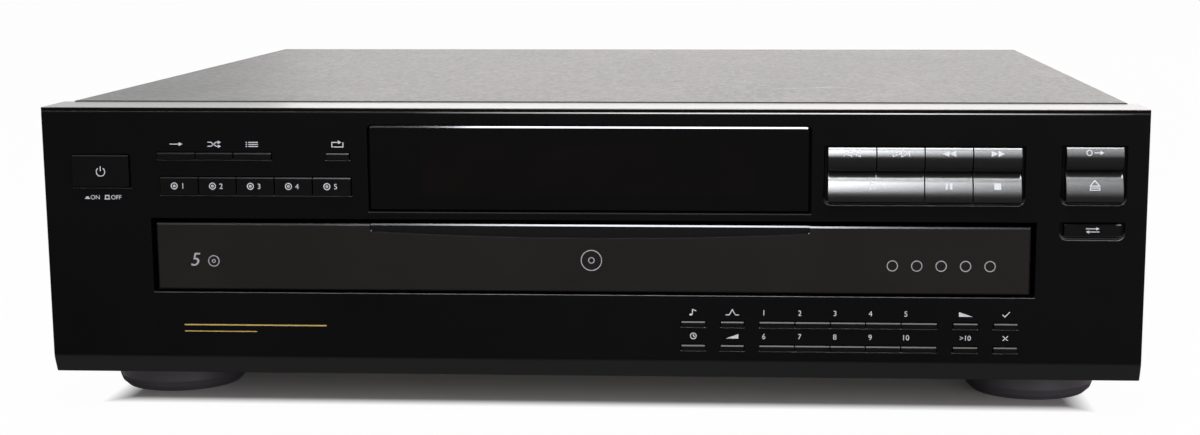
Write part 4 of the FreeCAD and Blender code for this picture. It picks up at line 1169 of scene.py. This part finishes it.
def track_sign(side):
    return [
        ("stroke", (3.2 * side, -1.1), (3.2 * side, 1.1)),
        ("hollow_triangle", 1.6 * side, 0, 2.8 * side, 2.2),
        ("hollow_triangle", -1.6 * side, 0, 2.8 * side, 2.2),
    ]


def wind_sign(side):
    return [("triangle", u, 0, 2.5 * side, 2.2) for u in (-1.3, 1.3)]


# Each sign on a key: how far above the key's middle, and its steps, in millimetres.
KEY_SIGNS = {
    "power_button": (0, [("arc", 0, -0.2, 1.7, 125, 415), ("stroke", (0, 0.1), (0, 2.0))]),
    "previous_track_key": (2, track_sign(-1)),
    "next_track_key": (2, track_sign(1)),
    "rewind_key": (2, wind_sign(-1)),
    "fast_forward_key": (2, wind_sign(1)),
    "play_key": (1, [("hollow_triangle", 0, 0, 4.4, 2.4)]),
    "pause_key": (1, [("bar", u, 0, 0.9, 2.4) for u in (-0.85, 0.85)]),
    "stop_key": (1, [("bar", 0, 0, 2.6, 2.4)]),
    "disc_skip_key": (2, [("arc", -2.4, 0, 1.0), ("arrow", (-0.6, 0), (3.2, 0), 1.5)]),
    "open_close_key": (0.6, [
        ("outline", (-1.8, 0.2), (0, 2.2), (1.8, 0.2)),
        ("outline", (-1.8, -1.3), (1.8, -1.3), (1.8, -0.5), (-1.8, -0.5)),
    ]),
    "exchange_key": (0, [
        ("arrow", (-2.6, 0.6), (2.6, 0.6), 1.3),
        ("arrow", (2.6, -0.6), (-2.6, -0.6), 1.3),
    ]),
}
# Each sign on the panel above a key: its steps.
PANEL_SIGNS = {
    "continue_key": [("arrow", (-2.6, 0), (2.6, 0), 1.5)],
    "shuffle_key": [
        ("stroke", (-2.6, -0.8), (-1.2, -0.8), (0.8, 0.8)),
        ("arrow", (0.8, 0.8), (2.8, 0.8), 1.3),
        ("stroke", (-2.6, 0.8), (-1.2, 0.8), (0.8, -0.8)),
        ("arrow", (0.8, -0.8), (2.8, -0.8), 1.3),
    ],
    "program_key": [
        ("bar", u, row, width, height)
        for row in (-0.8, 0, 0.8)
        for u, width, height in ((-2.3, 0.5, 0.4), (0.4, 3.8, 0.32))
    ],
    "repeat_key": [
        ("stroke", (0.2, 0.9), (-2.2, 0.9), (-2.2, -0.9), (2.2, -0.9), (2.2, 0.9)),
        ("triangle", 0.9, 0.9, 1.3, 1.5),
    ],
    "music_scan_key": [
        ("fill", (-1.5, -1.2), (-0.9, -1.3), (-0.3, -1.0), (-0.3, -0.6), (-0.9, -0.4), (-1.5, -0.7)),
        ("stroke", (-0.35, -0.8), (-0.35, 1.2), (1.2, 0.6)),
    ],
    "peak_search_key": [("stroke", (-2.6, -0.9), (-1.2, -0.9), (0, 1.2), (1.2, -0.9), (2.6, -0.9))],
    "time_key": [("arc", 0, 0, 1.15), ("stroke", (0, 0.7), (0, 0), (0.6, -0.3))],
    "fader_key": [("fill", (-2.4, -0.9), (2.4, -0.9), (2.4, 0.9))],
    "edit_fade_key": [("fill", (-2.6, 0.9), (-2.6, -0.9), (2.6, -0.9))],
    "check_key": [("stroke", (-1.3, 0.0), (-0.4, -0.9), (1.5, 1.1))],
    "over_10_key": [("text", ">10", 0, 0, 2.0)],
    "clear_key": [("stroke", (-1.0, -0.9), (1.0, 0.9)), ("stroke", (-1.0, 0.9), (1.0, -0.9))],
}
ON_OFF_SIGN = [
    ("bar", -6.1, -0.5, 2.0, 0.35),
    ("bar", -6.1, -0.05, 1.1, 0.6),
    ("text", "ON", -3.0, 0, 1.7),
    ("bar", 1.8, -0.7, 2.2, 0.35),
    ("stroke", (1.1, -0.5), (1.1, 0.7), (2.5, 0.7), (2.5, -0.5)),
    ("text", "OFF", 5.4, 0, 1.7),
]
GOLD_RULE = [("bar", 0, 1.4, 57.0, 0.5), ("bar", -14.0, -1.2, 29.0, 0.35)]
# A numeral and a disc at the left, a disc in the middle and a row of discs at the right.
DRAWER_ROW = [
    ("text", str(DISCS), -156.2, 0, 5.2, 0.25),
    ("disc", -148.5, -0.6, 2.1, 0.6),
    ("disc", 1.0, 0.6, 4.0, 1.1),
] + [("arc", 118 + 9.4 * n, -0.8, 2.0) for n in range(DISCS)]


class CHANGER_OT_key_marks(bpy.types.Operator):
    """Signs and numerals printed on the keys themselves"""

    bl_idname = "changer.key_marks"
    bl_label = "Marks on the keys"

    def execute(self, context):
        numeral = context.scene.changer_marks.numeral / MM
        pale = ink_finish("key_ink", context.scene.changer_finish.ink_color)
        signs = dict(KEY_SIGNS)
        for n in range(1, DISCS + 1):
            steps = [("disc", -1.9, 0, 1.2, 0.35), ("text", str(n), 1.5, 0, numeral)]
            signs["disc_%d_key" % n] = (0, steps)
        for name, (up, steps) in signs.items():
            print_sign(name + "_mark", name, name, on_key(name, 0, up * MM), pale, steps)
        return {"FINISHED"}


class CHANGER_OT_panel_marks(bpy.types.Operator):
    """Signs and numerals printed on the panel beside the keys, and a gold rule"""

    bl_idname = "changer.panel_marks"
    bl_label = "Marks on the panel"

    def execute(self, context):
        sizes = context.scene.changer_marks
        colors = context.scene.changer_finish
        pale = ink_finish("panel_ink", colors.ink_color)
        signs = [
            (name + "_sign", on_key(name, 0, sizes.above_key), pale, steps)
            for name, steps in PANEL_SIGNS.items()
        ]
        for n in range(1, 11):
            name = "number_%d_key" % n
            low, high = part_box(name)
            place = on_key(name, sizes.numeral_inset - (high.x - low.x) / 2, sizes.above_key)
            steps = [("text", str(n), 0, 0, sizes.numeral / MM)]
            signs.append((name + "_numeral", place, pale, steps))
        signs.append(
            ("on_off_marks", on_key("power_button", 0, -sizes.below_power), pale, ON_OFF_SIGN)
        )
        low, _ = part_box("front_panel")
        place = facing_front(sizes.rule_x, low.z + sizes.rule_z)
        gold = ink_finish("gold_ink", colors.gold_color)
        signs.append(("gold_rule", place, gold, GOLD_RULE))
        for name, place, ink, steps in signs:
            print_sign(name, "front_panel", "case", place, ink, steps)
        return {"FINISHED"}


class CHANGER_OT_drawer_marks(bpy.types.Operator):
    """Numeral and disc signs on the drawer front, and the well numerals of the table"""

    bl_idname = "changer.drawer_marks"
    bl_label = "Marks on the drawer"

    def execute(self, context):
        sizes = context.scene.changer_marks
        line = sizes.drawer_line
        faint = ink_finish("drawer_ink", scaled(context.scene.changer_finish.ink_color, 0.6))
        place = facing_front(0, middle_of("drawer_front").z - sizes.drawer_drop)
        print_sign("drawer_marks", "drawer_front", "drawer", place, faint, DRAWER_ROW, line)
        for n in range(DISCS):
            name = "well_%d_numeral" % (n + 1)
            place = on_table(math.tau / DISCS * (n + 0.5) - math.pi / 2, sizes.well_radius)
            steps = [("text", str(n + 1), 0, 0, sizes.well_numeral / MM)]
            print_sign(name, "disc_table", "carousel", place, faint, steps)
        return {"FINISHED"}


# ---- panel in the sidebar ----------------------------------------

OPERATORS = [
    CHANGER_OT_stage,
    CHANGER_OT_front_finish,
    CHANGER_OT_case_finish,
    CHANGER_OT_inner_finish,
    CHANGER_OT_screws,
    CHANGER_OT_key_marks,
    CHANGER_OT_panel_marks,
    CHANGER_OT_drawer_marks,
]
GROUPS = {
    "changer_screws": ChangerScrewSettings,
    "changer_marks": ChangerMarkSettings,
    "changer_finish": ChangerFinishSettings,
    "changer_camera": ChangerCameraSettings,
    "changer_light": ChangerLightSettings,
}


class CHANGER_PT_sidebar(bpy.types.Panel):
    """Lists the steps and their settings"""

    bl_idname = "CHANGER_PT_sidebar"
    bl_label = "Disc Changer"
    bl_space_type = "VIEW_3D"
    bl_region_type = "UI"
    bl_category = "Disc Changer"

    def draw(self, context):
        for operator in OPERATORS:
            self.layout.operator(operator.bl_idname)
        for name, group in GROUPS.items():
            for setting in group.__annotations__:
                self.layout.prop(getattr(context.scene, name), setting)


def register():
    for name, group in GROUPS.items():
        bpy.utils.register_class(group)
        setattr(bpy.types.Scene, name, bpy.props.PointerProperty(type=group))
    for operator in OPERATORS:
        bpy.utils.register_class(operator)
    bpy.utils.register_class(CHANGER_PT_sidebar)


def unregister():
    bpy.utils.unregister_class(CHANGER_PT_sidebar)
    for operator in reversed(OPERATORS):
        bpy.utils.unregister_class(operator)
    for name, group in GROUPS.items():
        delattr(bpy.types.Scene, name)
        bpy.utils.unregister_class(group)


def main():
    register()
    for operator in OPERATORS:
        group, name = operator.bl_idname.split(".")
        getattr(getattr(bpy.ops, group), name)()


if __name__ == "__main__":
    main()
